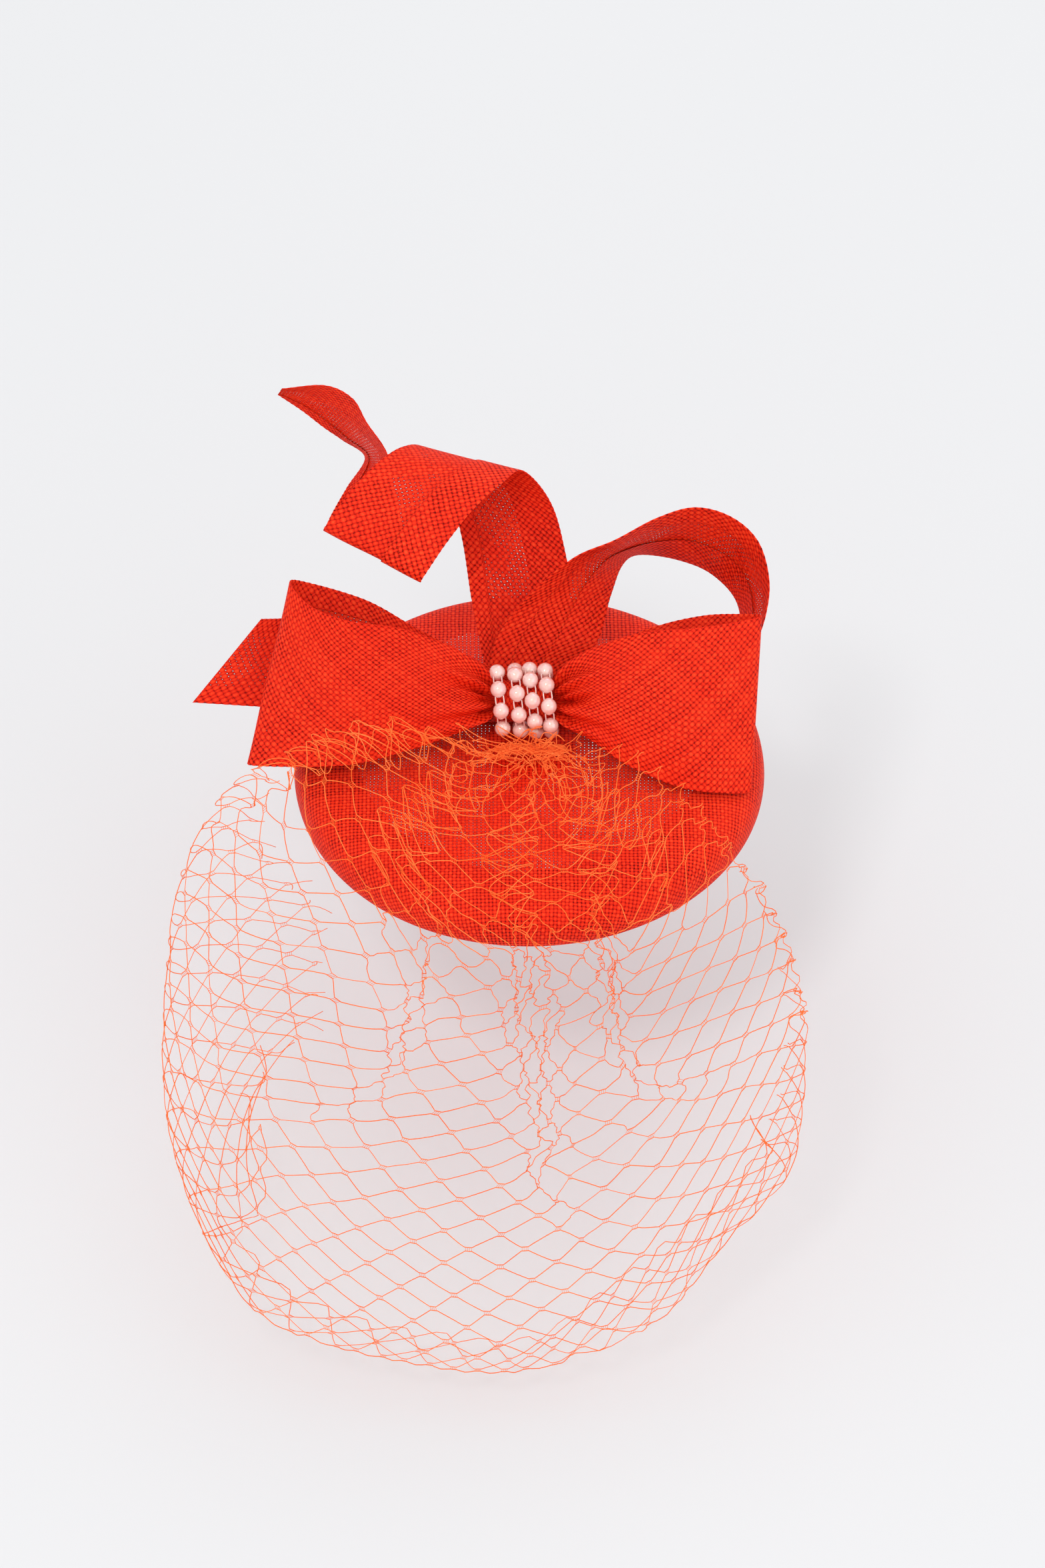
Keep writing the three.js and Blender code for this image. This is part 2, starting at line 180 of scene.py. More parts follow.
def tube_mesh(lines, radius, sides):
    """Vertices and faces of round threads along lines, an array (line, point, xyz)."""
    lines = np.asarray(lines, float)
    count, length, _ = lines.shape
    tangent = unit(np.gradient(lines, axis=1))
    side = np.zeros((count, 3))
    side[np.arange(count), np.argmin(np.abs(tangent[:, 0]), axis=-1)] = 1
    frames = []
    for k in range(length):
        t = tangent[:, k]
        side = unit(side - np.sum(side * t, axis=-1, keepdims=True) * t)
        frames.append(side)
    side = np.stack(frames, axis=1)
    other = np.cross(tangent, side)
    angle = (2 * math.pi * np.arange(sides) / sides)[:, None]
    ring = side[:, :, None] * np.cos(angle) + other[:, :, None] * np.sin(angle)
    vertices = lines[:, :, None] + radius * ring
    base = (np.arange(count) * length * sides)[:, None, None]
    start = base + np.arange(length - 1)[None, :, None] * sides
    s = np.arange(sides)[None, None, :]
    a, b = start + s, start + (s + 1) % sides
    quads = stacked(a, b, b + sides, a + sides).reshape(-1, 4)
    first = base[:, 0] + np.arange(sides)[::-1]
    final = base[:, 0] + (length - 1) * sides + np.arange(sides)
    return vertices.reshape(-1, 3), quads.tolist() + first.tolist() + final.tolist()


def cloth_piece(name, vertices, faces, threads, material):
    """Cloth in place of the node of that name.

    threads gives each vertex its place in the flat cloth, counted in threads both
    ways, and a third number that sets each layer's random tones apart.
    """
    piece = new_piece(f"{name}_cloth", vertices, faces, material, replaces=name)
    layer = piece.data.attributes.new("threads", "FLOAT_VECTOR", "POINT")
    layer.data.foreach_set("vector", np.asarray(threads, np.float32).ravel())
    return piece


# ---- node materials --------------------------------------------------------


class Number:
    """A number in a node tree, so that a pattern can be written as arithmetic."""

    def __init__(self, tree, socket):
        self.tree = tree
        self.socket = socket

    def math(self, operation, *others):
        node = self.tree.nodes.new("ShaderNodeMath")
        node.operation = operation
        self.tree.links.new(self.socket, node.inputs[0])
        for k, other in enumerate(others, 1):
            if isinstance(other, Number):
                self.tree.links.new(other.socket, node.inputs[k])
            else:
                node.inputs[k].default_value = other
        return Number(self.tree, node.outputs[0])

    def __add__(self, other):
        return self.math("ADD", other)

    def __sub__(self, other):
        return self.math("SUBTRACT", other)

    def __mul__(self, other):
        return self.math("MULTIPLY", other)

    def __truediv__(self, other):
        return self.math("DIVIDE", other)

    def __pow__(self, other):
        return self.math("POWER", other)

    def floor(self):
        return self.math("FLOOR")

    def fract(self):
        return self.math("FRACT")

    def cos(self):
        return self.math("COSINE")

    def max(self, other):
        return self.math("MAXIMUM", other)

    def min(self, other):
        return self.math("MINIMUM", other)

    def above(self, other):
        return self.math("GREATER_THAN", other)

    def to(self, shader, name):
        """Drives one of the shader's sockets."""
        self.tree.links.new(self.socket, shader.inputs[name])


def new_material(name):
    material = bpy.data.materials.new(name)
    material.use_nodes = True
    return material, material.node_tree, material.node_tree.nodes["Principled BSDF"]


def set_values(shader, values):
    """Sets what is the same all over the surface, by socket name."""
    for name, value in values.items():
        shader.inputs[name].default_value = value


def linear(red, green, blue):
    """A linear colour from sRGB parts out of 255."""
    parts = [c / 255 for c in (red, green, blue)]
    return [c / 12.92 if c <= 0.04045 else ((c + 0.055) / 1.055) ** 2.4 for c in parts]


def thread_place(tree):
    """Where a point lies in the flat cloth: as a vector, and as its three parts."""
    node = tree.nodes.new("ShaderNodeAttribute")
    node.attribute_name = "threads"
    split = tree.nodes.new("ShaderNodeSeparateXYZ")
    tree.links.new(node.outputs["Vector"], split.inputs[0])
    return node.outputs["Vector"], [Number(tree, s) for s in split.outputs]


def object_place(tree):
    return tree.nodes.new("ShaderNodeTexCoord").outputs["Object"]


def vector_of(tree, *parts):
    node = tree.nodes.new("ShaderNodeCombineXYZ")
    for socket, part in zip(node.inputs, parts):
        if isinstance(part, Number):
            tree.links.new(part.socket, socket)
        else:
            socket.default_value = part
    return node.outputs[0]


def noise_node(tree, vector, scale, detail):
    node = tree.nodes.new("ShaderNodeTexNoise")
    set_values(node, {"Scale": scale, "Detail": detail})
    tree.links.new(vector, node.inputs["Vector"])
    return node


def noise(tree, vector, scale, detail=2.0):
    return Number(tree, noise_node(tree, vector, scale, detail).outputs["Fac"])


def white(tree, *parts):
    """A random number from 0 to 1 for each whole set of parts."""
    node = tree.nodes.new("ShaderNodeTexWhiteNoise")
    node.noise_dimensions = "3D"
    tree.links.new(vector_of(tree, *parts), node.inputs["Vector"])
    return Number(tree, node.outputs["Value"])


def paint(shader, value, *stops):
    """Base colour that runs with a value through stops, each (place, linear colour)."""
    tree = value.tree
    node = tree.nodes.new("ShaderNodeValToRGB")
    elements = node.color_ramp.elements
    while len(elements) < len(stops):
        elements.new(0.5)
    for element, (place, colour) in zip(elements, stops):
        element.position = place
        element.color = (*colour, 1)
    tree.links.new(value.socket, node.inputs[0])
    tree.links.new(node.outputs[0], shader.inputs["Base Color"])


def bump(shader, height, distance, strength):
    tree = height.tree
    node = tree.nodes.new("ShaderNodeBump")
    set_values(node, {"Distance": distance, "Strength": strength})
    tree.links.new(height.socket, node.inputs["Height"])
    tree.links.new(node.outputs[0], shader.inputs["Normal"])


THREAD_STRAY = 0.3  # how far the weave's threads wander from straight, in threads


def sinamay(name, half_widths=(0.48, 0.40), painted_shade_beyond=0.0):
    """Plain weave of flat, slightly uneven straw threads with open corners between.

    half_widths are those of the two sets of threads, in threads. The last argument is
    the distance from the cloth's middle, in threads, past which the holes are closed
    and painted the darkest red: painted shade of a layer behind them.
    """
    material, tree, shader = new_material(name)
    place, (a, b, layer) = thread_place(tree)
    bend = tree.nodes.new("ShaderNodeSeparateColor")
    tree.links.new(noise_node(tree, place, 0.16, 1.0).outputs["Color"], bend.inputs[0])
    a = a + (Number(tree, bend.outputs[0]) - 0.5) * THREAD_STRAY * 2
    b = b + (Number(tree, bend.outputs[1]) - 0.5) * THREAD_STRAY * 2
    i, j = a.floor(), b.floor()
    across_a, across_b = a.fract() - 0.5, b.fract() - 0.5
    # 1 where the first set of threads crosses over the second, -1 where it goes under
    over = ((i + j) * 0.5).fract() * 4 - 1
    tone_a, tone_b = white(tree, i, 3.5, layer), white(tree, j, 9.5, layer)
    patch = noise(tree, place, 0.09, 3.0)
    crossing = white(tree, i, j, layer)
    loose = (patch - 0.5) * -0.3 + (crossing - 0.5) * 0.08
    profiles = []
    for across, tone, half in zip((across_a, across_b), (tone_a, tone_b), half_widths):
        share = (across / (tone * 0.08 + loose + (half - 0.04))).math("ABSOLUTE")
        profiles.append((share**2 * 0.5 + share**4 * 0.5) * -1 + 1)
    inside_a, inside_b = profiles
    lift_a = over * (across_b * math.pi).cos() * 0.32 + 0.12
    lift_b = over * (across_a * math.pi).cos() * -0.32
    sunk = 4.0  # beyond its width a thread is far below the other
    top_a = inside_a * 0.5 + lift_a + (inside_a.above(0) - 1) * sunk
    top_b = inside_b * 0.5 + lift_b + (inside_b.above(0) - 1) * sunk
    height = top_a.max(top_b)
    covered = inside_a.max(inside_b).above(0)
    a_on_top = top_a.above(top_b)
    b_on_top = a_on_top * -1 + 1
    tone = tone_a * a_on_top + tone_b * b_on_top
    # the fibres are long along the thread on top and fine across it
    fine, coarse = 12, 1.2
    fibre_a, fibre_b = a * (a_on_top * fine + coarse), b * (b_on_top * fine + coarse)
    fibre = noise(tree, vector_of(tree, fibre_a, fibre_b, tone * 40), 1.0)
    # painted shade: the colour follows the weave's height, so thread edges, slits and low
    # crossings are darker; tone, fibre and patch are the straw's own uneven colour
    light = height * 0.8 + (tone - 0.5) * 0.14 + (fibre - 0.5) * 0.8
    light = light + (patch - 0.5) * 0.2 + 0.14
    paint(
        shader,
        light.max(0.0).min(1.0),
        (0.0, linear(48, 0, 0)),
        (0.25, linear(112, 4, 1)),
        (0.52, linear(220, 30, 10)),
        (0.75, linear(247, 50, 20)),
        (1.0, linear(255, 80, 38)),
    )
    (fibre * 0.25 + 0.42).min(1.0).to(shader, "Roughness")
    # painted shade: past that distance the holes are filled with the weave's darkest red, as if a
    # shaded layer lay behind them
    if painted_shade_beyond:
        uneven = noise(tree, place, 0.05, 1.0)
        reach = (a * a + b * b) ** 0.5 + (uneven - 0.5) * 4
        covered = covered.max(reach.above(painted_shade_beyond))
    covered.to(shader, "Alpha")
    bump(shader, height.max(-0.3) + fibre * 0.5, 0.0003, 0.8)
    set_values(shader, {"Specular IOR Level": 0.1})
    return material


def thread_material(name, dark, bright, roughness, scale, shine=0.5, glow=0.0):
    """Spun or drawn thread: colour that drifts along it. glow stands in for light let through."""
    material, tree, shader = new_material(name)
    place = object_place(tree)
    paint(shader, noise(tree, place, scale, 3.0), (0.3, dark), (0.7, bright))
    bump(shader, noise(tree, place, scale * 8), 0.0001, 0.4)
    set_values(shader, {
        "Emission Color": (*bright, 1),
        "Emission Strength": glow,
        "Roughness": roughness,
        "Specular IOR Level": shine,
    })
    return material


def veil_film_material():
    """Almost nothing: the sheet that the net's threads are drawn on."""
    material, _, shader = new_material("veil_film")
    set_values(shader, {
        "Base Color": (*linear(255, 105, 65), 1),
        "Roughness": 0.9,
        "Specular IOR Level": 0.0,
        "Alpha": 0.002,
    })
    return material


def pearl_material():
    """A clear hard coat over a milky body, with a faint film of colour."""
    material, tree, shader = new_material("pearl")
    place = object_place(tree)
    cloud = noise(tree, place, 260, 3.0)
    paint(shader, cloud, (0.25, linear(252, 190, 178)), (0.75, linear(255, 216, 204)))
    bump(shader, noise(tree, place, 1500), 0.00004, 0.3)
    set_values(shader, {
        "Roughness": 0.16,
        "Specular IOR Level": 0.9,
        "Subsurface Weight": 0.25,
        "Subsurface Radius": (1.0, 0.45, 0.4),
        "Subsurface Scale": 0.0012,
        "Coat Weight": 1.0,
        "Coat Roughness": 0.04,
        "Coat IOR": 2.0,
        "Thin Film Thickness": 380,
    })
    return material


def felt_material():
    """Pressed wool: fine matted hairs over cloudier colour."""
    material, tree, shader = new_material("felt")
    place = object_place(tree)
    hairs = noise(tree, place, 2600, 5.0)
    light = (hairs * 0.6 + noise(tree, place, 300, 3.0) * 0.4).min(1.0)
    paint(shader, light, (0.3, linear(150, 14, 10)), (0.7, linear(226, 44, 30)))
    bump(shader, hairs, 0.0003, 0.7)
    set_values(shader, {"Roughness": 0.95, "Sheen Weight": 0.5})
    return material


def petersham_material():
    """Ribbed ribbon: the threads attribute counts ribs along it and picks across."""
    material, tree, shader = new_material("petersham")
    _, (rib, pick, _) = thread_place(tree)
    ridge = (rib * (2 * math.pi)).cos() * 0.5 + 0.5
    fine = (pick * (2 * math.pi)).cos() * 0.12
    tone = white(tree, rib.floor(), 1.5, 0.5)
    light = (ridge * 0.6 + fine + tone * 0.25).max(0.0).min(1.0)
    paint(shader, light, (0.0, linear(140, 8, 6)), (0.8, linear(235, 44, 28)))
    bump(shader, ridge + fine, 0.0002, 0.8)
    set_values(shader, {"Roughness": 0.6, "Sheen Weight": 0.3})
    return material


def comb_material():
    """Clear moulded plastic with a slight haze."""
    material, tree, shader = new_material("clear_comb")
    haze = noise(tree, object_place(tree), 400, 3.0)
    (haze * 0.22 + 0.04).min(1.0).to(shader, "Roughness")
    clear = {"Base Color": (0.92, 0.93, 0.94, 1), "Transmission Weight": 0.85, "IOR": 1.49}
    set_values(shader, clear)
    return material


def wire_material():
    material, tree, shader = new_material("rim_wire")
    worn = noise(tree, object_place(tree), 900, 4.0)
    paint(shader, worn, (0.3, linear(150, 150, 152)), (0.7, linear(205, 205, 208)))
    (worn * 0.3 + 0.2).to(shader, "Roughness")
    set_values(shader, {"Metallic": 1.0})
    return material


# ---- folded strips ---------------------------------------------------------
# Each row is one line across a strip: one edge (x, v, n), the other edge
# (x, v, n), and how far the middle of that line stands out of the face.

LEFT_LOOP = [
    [-2.6, 31.8, 18.7, -2.6, 23.2, 18.7, 0],
    [-11.8, 32.1, 18.8, -11.8, 22.9, 18.8, 0.2],
    [-17, 38.9, 22.5, -17, 18.8, 22.5, 2],
    [-28, 46, 26, -28, 14.6, 26, 4],
    [-44, 52, 29, -43.9, 9.6, 28.5, 6],
    [-62.8, 54.8, 29, -61.7, 5.3, 29, 6],
    [-76, 60, 26, -82.2, 4.6, 27, 3],
    [-83.4, 68.2, 20, -97.9, 5.5, 21.5, 0],
    [-78, 68.6, 13, -90, 8, 15.5, -2],
    [-57, 62.4, 9.5, -66, 11.5, 14, -2],
    [-40, 53, 9, -44, 14, 14, -1],
    [-25, 45, 10, -25, 17.5, 13.8, 0],
    [-17, 38.5, 12, -17, 20, 14, 0],
    [-11.8, 32, 15.6, -11.8, 23, 15.6, 0],
    [-2.6, 31.8, 15.7, -2.6, 23.2, 15.7, 0],
]
RIGHT_LOOP = [
    [-1.4, 31.8, 18.7, -1.4, 23.2, 18.7, 0],
    [8.2, 32.1, 18.8, 8.2, 22.9, 18.8, 0.2],
    [13, 38.9, 22.5, 13, 17.6, 23, 2],
    [22, 45, 26, 21, 13.5, 27.5, 4],
    [38.6, 50.6, 28, 35, 4.6, 31, 6],
    [55, 52, 28, 52, -2.4, 31.5, 6],
    [70, 54, 25, 67, -4.4, 30.5, 3],
    [81, 56.6, 19, 77, -3.5, 28, 0],
    [75, 57.4, 12.5, 73, 4, 23.5, -1.5],
    [61, 57, 8, 58, 9.5, 17.8, -1],
    [43.4, 53, 7.5, 40, 13.5, 15, -0.5],
    [22, 44.5, 9.5, 22, 17, 14, 0],
    [13, 38.5, 12, 13, 19.5, 14.2, 0],
    [8.2, 32, 15.6, 8.2, 23, 15.6, 0],
    [-1.4, 31.8, 15.7, -1.4, 23.2, 15.7, 0],
]
LEFT_TAIL = [
    [-7, 36, 8, -7, 27, 8, 0],
    [-22, 43, 6.2, -22, 24, 6.4, 0],
    [-45, 51, 5.2, -46, 23.5, 6.2, 0],
    [-72, 55.8, 5.6, -80, 25, 7, -1],
    [-94, 55.9, 7, -117.5, 27.2, 8.5, 0],
]
LEFT_CURL = [
    [-12, 26.5, 3.6, 4, 26.5, 3.6, 0],
    [-15.5, 41, 2.6, 7, 41, 2.6, 0],
    [-19.9, 63, 0.5, 14, 63, 0.5, -1],
    [-23.4, 85, -3, 11.5, 84, -2.5, -2],
    [-28.5, 103, 0, 6.5, 98.5, 1, -1],
    [-36, 115.5, 11, -2.5, 107.5, 13, 0],
    [-44, 115.5, 22, -10, 102.5, 25, 0.5],
    [-53, 109, 29.5, -20, 93, 32.5, 1],
    [-62, 99, 33.5, -29, 81.5, 36.5, 1],
    [-70.2, 87.4, 34, -36.7, 70.2, 36, 0.5],
    [-70.6, 86.5, 28, -38, 69.6, 30, 0],
    [-68.5, 92, 21, -42, 78, 24, 0],
    [-63.5, 102, 8, -47, 96, 20, 0],
    [-57.5, 113.5, -9, -49.5, 112.5, 15, 0],
    [-65.6, 119.8, -8, -57, 124.5, 13, -1],
    [-72, 124, -4, -62, 132.8, 13, -1],
    [-79.5, 129.6, 0, -71.5, 137.4, 11, 0],
    [-88, 135, 4, -86.6, 136.6, 6.5, 0],
]
RIGHT_CURL = [
    [-9, 27, 5.9, 9, 27, 5.9, 0],
    [-13.3, 40, 5.6, 16, 39, 5.6, 0],
    [-9, 53, 8, 24, 49, 6, 0.5],
    [2.5, 66.5, 15, 28.4, 65, -2, 2],
    [16, 77.5, 19, 32.6, 75.6, -9, 2],
    [30, 83.4, 20.5, 38, 79.6, -13, 1],
    [44.6, 91, 20, 48, 79, -13, 1],
    [58, 94.6, 19, 59, 76, -13, 1],
    [70.5, 91.4, 16, 67.5, 70.8, -14, 1],
    [80, 83, 12, 73, 64.6, -15, 0],
    [84, 70, 8, 75.1, 57.7, -14, 0],
    [83, 57.5, 5, 75.5, 48, -10, 0],
    [78, 43, 3, 72, 38, -6, 0],
]

LAYER_GAP_MM = 0.5  # between a strip's face and its turned hem
CLOTH_STEP_MM = 0.6  # between mesh lines
THREAD_PITCH_MM = {"trim": 1.62, "base": 1.38}


def strip_surface(rows):
    """A function (u, w) -> points: u along the strip, w across it, each from 0 to 1."""

    def surface(u, w):
        row = smooth_row(rows, u)[..., None, :]
        w = np.asarray(w, float)[None, :, None]
        points = row[..., 0:3] * (1 - w) + row[..., 3:6] * w
        points[..., 2:3] += row[..., 6:7] * 4 * w * (1 - w)
        return from_trim(points)

    return surface


def even_stations(surface):
    """Values of u that lie evenly along the strip's middle line, and their places in mm."""
    u = np.linspace(0, 1, 600)
    lengths = arc_lengths(surface(u, [0.5])[:, 0]) / MM
    even = np.linspace(0, lengths[-1], int(lengths[-1] / CLOTH_STEP_MM) + 1)
    return np.interp(even, lengths, u), even


def fold_profile(width_mm, hems_mm, step_mm=CLOTH_STEP_MM):
    """Across a hemmed strip from one raw edge to the other: (w, layer, cloth mm).

    w is the place across the finished strip, layer 0 on its face and 1 on a hem.
    """
    turn = 0.5 * LAYER_GAP_MM / width_mm
    angles = np.linspace(0, math.pi, 7)[1:-1]
    hem_a, hem_b = hems_mm
    count_a, count, count_b = (max(2, int(mm / step_mm)) for mm in (hem_a, width_mm, hem_b))
    w = np.concatenate([
        np.linspace(hem_a / width_mm, 0, count_a),
        -turn * np.sin(angles),
        np.linspace(0, 1, count),
        1 + turn * np.sin(angles),
        np.linspace(1, 1 - hem_b / width_mm, count_b),
    ])
    layers = np.concatenate([
        np.ones(count_a),
        0.5 + 0.5 * np.cos(angles),
        np.zeros(count),
        0.5 - 0.5 * np.cos(angles),
        np.ones(count_b),
    ])
    return w, layers, arc_lengths(stacked(w * width_mm, layers * LAYER_GAP_MM))


def bias_threads(along_mm, across_mm, layer):
    """Thread counts of cloth cut on the bias, whose threads cross the strip at 45 degrees."""
    pitch = math.sqrt(2) * THREAD_PITCH_MM["trim"]
    return stacked((along_mm + across_mm) / pitch, (along_mm - across_mm) / pitch, layer)


def hemmed_strip(name, rows, width_mm, hems, outward, material, layer, pleats=None):
    """A bias strip whose long edges are turned over, as one sheet of cloth.

    hems are (width in mm, side) for each edge, and a side or outward is 1 where
    it lies along the surface's normal and -1 where it lies against it.
    """
    surface = strip_surface(rows)
    u, along = even_stations(surface)
    hems_mm, sides = zip(*hems)
    w, layers, cloth = fold_profile(width_mm, hems_mm)
    inside = np.clip(w, 0, 1)
    face = np.linspace(0, 1, 60)
    base = surface(u, face)

    def on_face(values):
        k = inside * (len(face) - 1)
        i = np.minimum(k.astype(int), len(face) - 2)
        f = (k - i)[None, :, None]
        return values[:, i] * (1 - f) + values[:, i + 1] * f

    edge = base[:, -1:] - base[:, :1]
    point = on_face(base) + edge * (w - inside)[None, :, None]
    squeeze = np.clip(1 - np.linalg.norm(edge, axis=-1) / MM / width_mm, 0, 1)
    side = np.where(cloth < cloth[-1] / 2, *sides)
    out = side * LAYER_GAP_MM * layers * (1 - 0.5 * squeeze)
    if pleats is not None:
        out = out + outward * pleats(along[:, None], inside[None, :], squeeze)
    # a slow ripple, and on the folded edges a small bump at every thread
    seed = len(name) + int(width_mm)
    ripple = 0.25 * smooth_noise(along, 9, seed)[:, None]
    out = out + ripple * (1 - squeeze) * np.cos(inside * 9 + 1.3)
    thread_step = THREAD_PITCH_MM["trim"] * math.sqrt(2)
    thread_bump = 0.16 * np.abs(np.sin(math.pi * along / thread_step))[:, None]
    at_edge = ((w < 0) | (w > 1)) * np.sign(w - 0.5)
    point = point + unit(edge) * (thread_bump * at_edge)[..., None] * MM
    point = point + on_face(normals_of(base)) * out[..., None] * MM
    threads = bias_threads(along[:, None], cloth, layer)
    piece = cloth_piece(name, point, grid_faces(len(u), len(w)), threads, material)


def bow_pleats(creases, length_mm):
    """Pleats that run out of the knot at both ends of a loop and die away.

    creases are the deep ones, each (place across, drift outwards, depth in mm,
    half width), with places and widths in shares of the strip's width.
    """
    reach_mm, knot_mm, pleat_count = 45, 13, 4.5

    def pleats(along, across, squeeze):
        from_end = np.minimum(along, length_mm - along)
        in_knot = smoothstep(knot_mm, 9, from_end)
        fade = smoothstep(reach_mm, 12, from_end)
        folds = across + 0.03 * np.sin(across * 11 + from_end * 0.09)
        height = (0.5 + 1.9 * squeeze * (1 - in_knot)) * fade
        out = height * np.sin(folds * 2 * math.pi * pleat_count + 0.6)
        for place, drift, depth, half in creases:
            middle = place + drift * (from_end - 10) / reach_mm
            valley = np.exp(-(((across - middle) / half) ** 2))
            out = out - depth * fade * (1 - 0.8 * in_knot) * valley
        return out * (1 - 0.4 * in_knot)

    return pleats


# ---- the base --------------------------------------------------------------
# Profiles of (radius, height) in mm, from the middle of the crown outwards.

CROWN_PROFILE = [
    [0, 18.5], [20, 18.3], [40, 17.5], [56, 16.7], [64, 16.2], [70, 15.9],
    [75, 15.2], [79, 13.6], [81.4, 10.8], [82.4, 7], [82.5, 4], [82, 1.6],
    [81, 0.3], [79.6, 0], [78.4, 0.4], [77.6, 1.6], [77.2, 4], [77.2, 8],
]
FACING_PROFILE = [
    [64, 14.45], [70, 14.15], [74.4, 13.45], [77.85, 12.05], [79.8, 9.75],
    [80.65, 6.85], [80.7, 4], [80.6, 3.3],
]
BASE_SIDES = 300


def even_profile(profile, step_mm):
    """A rounded profile with points every step_mm, and its running length."""
    fine = smooth_row(profile, np.linspace(0, 1, 1200))
    lengths = arc_lengths(fine)
    even = np.linspace(0, lengths[-1], int(lengths[-1] / step_mm) + 1)
    return resampled(even, lengths, fine), even


def blocked_sheet(name, profile, material, start_mm=0.0, layer=0.5):
    """Straight-cut cloth pulled over a round block, centred on the crown."""
    points, lengths = even_profile(profile, 0.9)
    radius, height = points[:, :1], points[:, 1:]
    turn = 2 * math.pi * np.arange(BASE_SIDES) / BASE_SIDES
    waves = enumerate(np.random.default_rng(3).uniform(-1, 1, (6, 2)), 2)
    uneven = sum((a * np.cos(k * turn) + b * np.sin(k * turn)) / k for k, (a, b) in waves)
    near_edge = smoothstep(50, 80, radius)
    out_of_round, out_of_level = 0.35, 0.3  # how uneven the edge is, in mm
    r = radius + out_of_round * uneven * near_edge
    z = height + out_of_level * np.roll(uneven, 40) * near_edge
    rings = around(r, turn, z) * MM
    reach = (lengths + start_mm)[:, None] / THREAD_PITCH_MM["base"]
    threads = around(reach, turn, layer)
    if radius[0] > 0:
        vertices, faces = round_mesh(rings)
        places = threads
    else:
        vertices, faces = round_mesh(rings[1:], rings[0, 0])
        places, _ = round_mesh(threads[1:], threads[0, 0])
    return cloth_piece(name, vertices, faces, places, material)


def crown(material):
    piece = blocked_sheet("crown_shell", CROWN_PROFILE, material)


def facing(material):
    piece = blocked_sheet("crown_facing", FACING_PROFILE, material, start_mm=62.0, layer=3.5)


def head_ribbon(material):
    """Ribbed ribbon sewn round inside the rim, its ends lapped at the back."""
    low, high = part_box("head_ribbon")
    radius, bottom, top = high.x - 0.0004, low.z + 0.0001, high.z - 0.0001
    sides, rows, ribs, picks = 480, 9, 600, 26
    full, lap = 2 * math.pi, math.radians(9)
    past_start = np.linspace(0, full + lap, sides)[:, None]
    turn = past_start + math.pi / 2
    share = np.linspace(0, 1, rows)
    inward = 0.0003 * smoothstep(full, full + lap * 0.3, past_start)
    r = radius + 0.00012 * np.sin(turn * 41) - inward
    z = bottom + (top - bottom) * share + 0.00008 * np.sin(turn * 23)
    threads = stacked(turn / full * ribs, share * picks, 0)
    faces = grid_faces(sides, rows)
    piece = cloth_piece("head_ribbon", around(r, turn, z), faces, threads, material)


def felt_backing(material):
    """A felt disc with a pinked edge, sewn under the trim."""
    low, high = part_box("felt_backing")
    radius = high.x
    teeth, per_tooth, notch_depth, edge_drop = 42, 4, 0.0011, 0.00025
    step = np.arange(teeth * per_tooth)
    turn = 2 * math.pi * step / len(step)
    between_tips = 1 - np.abs((step % per_tooth) / per_tooth - 0.5) * 2
    rim = radius - notch_depth * between_tips
    disc = np.full(len(step), radius)
    radii = np.array([0.4 * disc, 0.8 * disc, 0.93 * rim, rim])
    drops = np.array([0, 0, 0, edge_drop])[:, None]
    under, over = around(radii, turn, low.z + drops), around(radii, turn, high.z - drops)
    rings = np.concatenate([under, over[::-1]])
    vertices, faces = round_mesh(rings, (0, 0, low.z), (0, 0, high.z))
    piece = new_piece(
        "felt_backing_disc", vertices, faces, material, replaces="felt_backing"
    )


def trim_base(material):
    """A pressed patch of cloth, its edges turned under, that the trim is sewn to."""
    low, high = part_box("trim_base")
    width, depth, hem = high.x - low.x, high.y - low.y, 0.006
    w, layers, cloth = fold_profile(width / MM, (hem / MM, hem / MM))
    share = np.linspace(0, 1, 40)[:, None]
    corner = 1 - 0.1 * np.abs(2 * share - 1) ** 6
    x = (low.x + high.x) / 2 + (w - 0.5) * width * corner
    y = low.y + depth * share
    pressed = 0.0001 * np.sin(x * 900) * np.cos(y * 700)
    z = high.z - 0.0001 - 0.0007 * layers + pressed
    threads = bias_threads(share * depth / MM, cloth, 6.5)
    faces = grid_faces(len(share), len(w))
    piece = cloth_piece("trim_base", stacked(x, y, z), faces, threads, material)


# ---- the knot --------------------------------------------------------------

KNOT = {"v": 27.5, "n": 17.2, "left": -11.5, "right": 7.8, "half_v": 7.6, "half_n": 5.6}
PEARL = {"radius": 2.8, "pitch": 7.6, "clear": 0.35, "gap": 2.9, "thread": 0.24}
# each string's x, count of pearls, and shift round the knot
PEARL_STRINGS = [(-10.2, 6, 0), (-4.0, 6, -1.5), (1.2, 5, -0.2), (6.6, 6, 1.6)]
PEARL_LEAN_MM = 1.1  # the strings lie slightly askew on the knot


def oval(angle, grow, x):
    """A point round the knot: angle 0 faces out of the trim, grow in mm from the wall."""
    v = KNOT["v"] + (KNOT["half_v"] + grow) * np.sin(angle)
    n = KNOT["n"] + (KNOT["half_n"] + grow) * np.cos(angle)
    return from_trim(stacked(x, v, n))


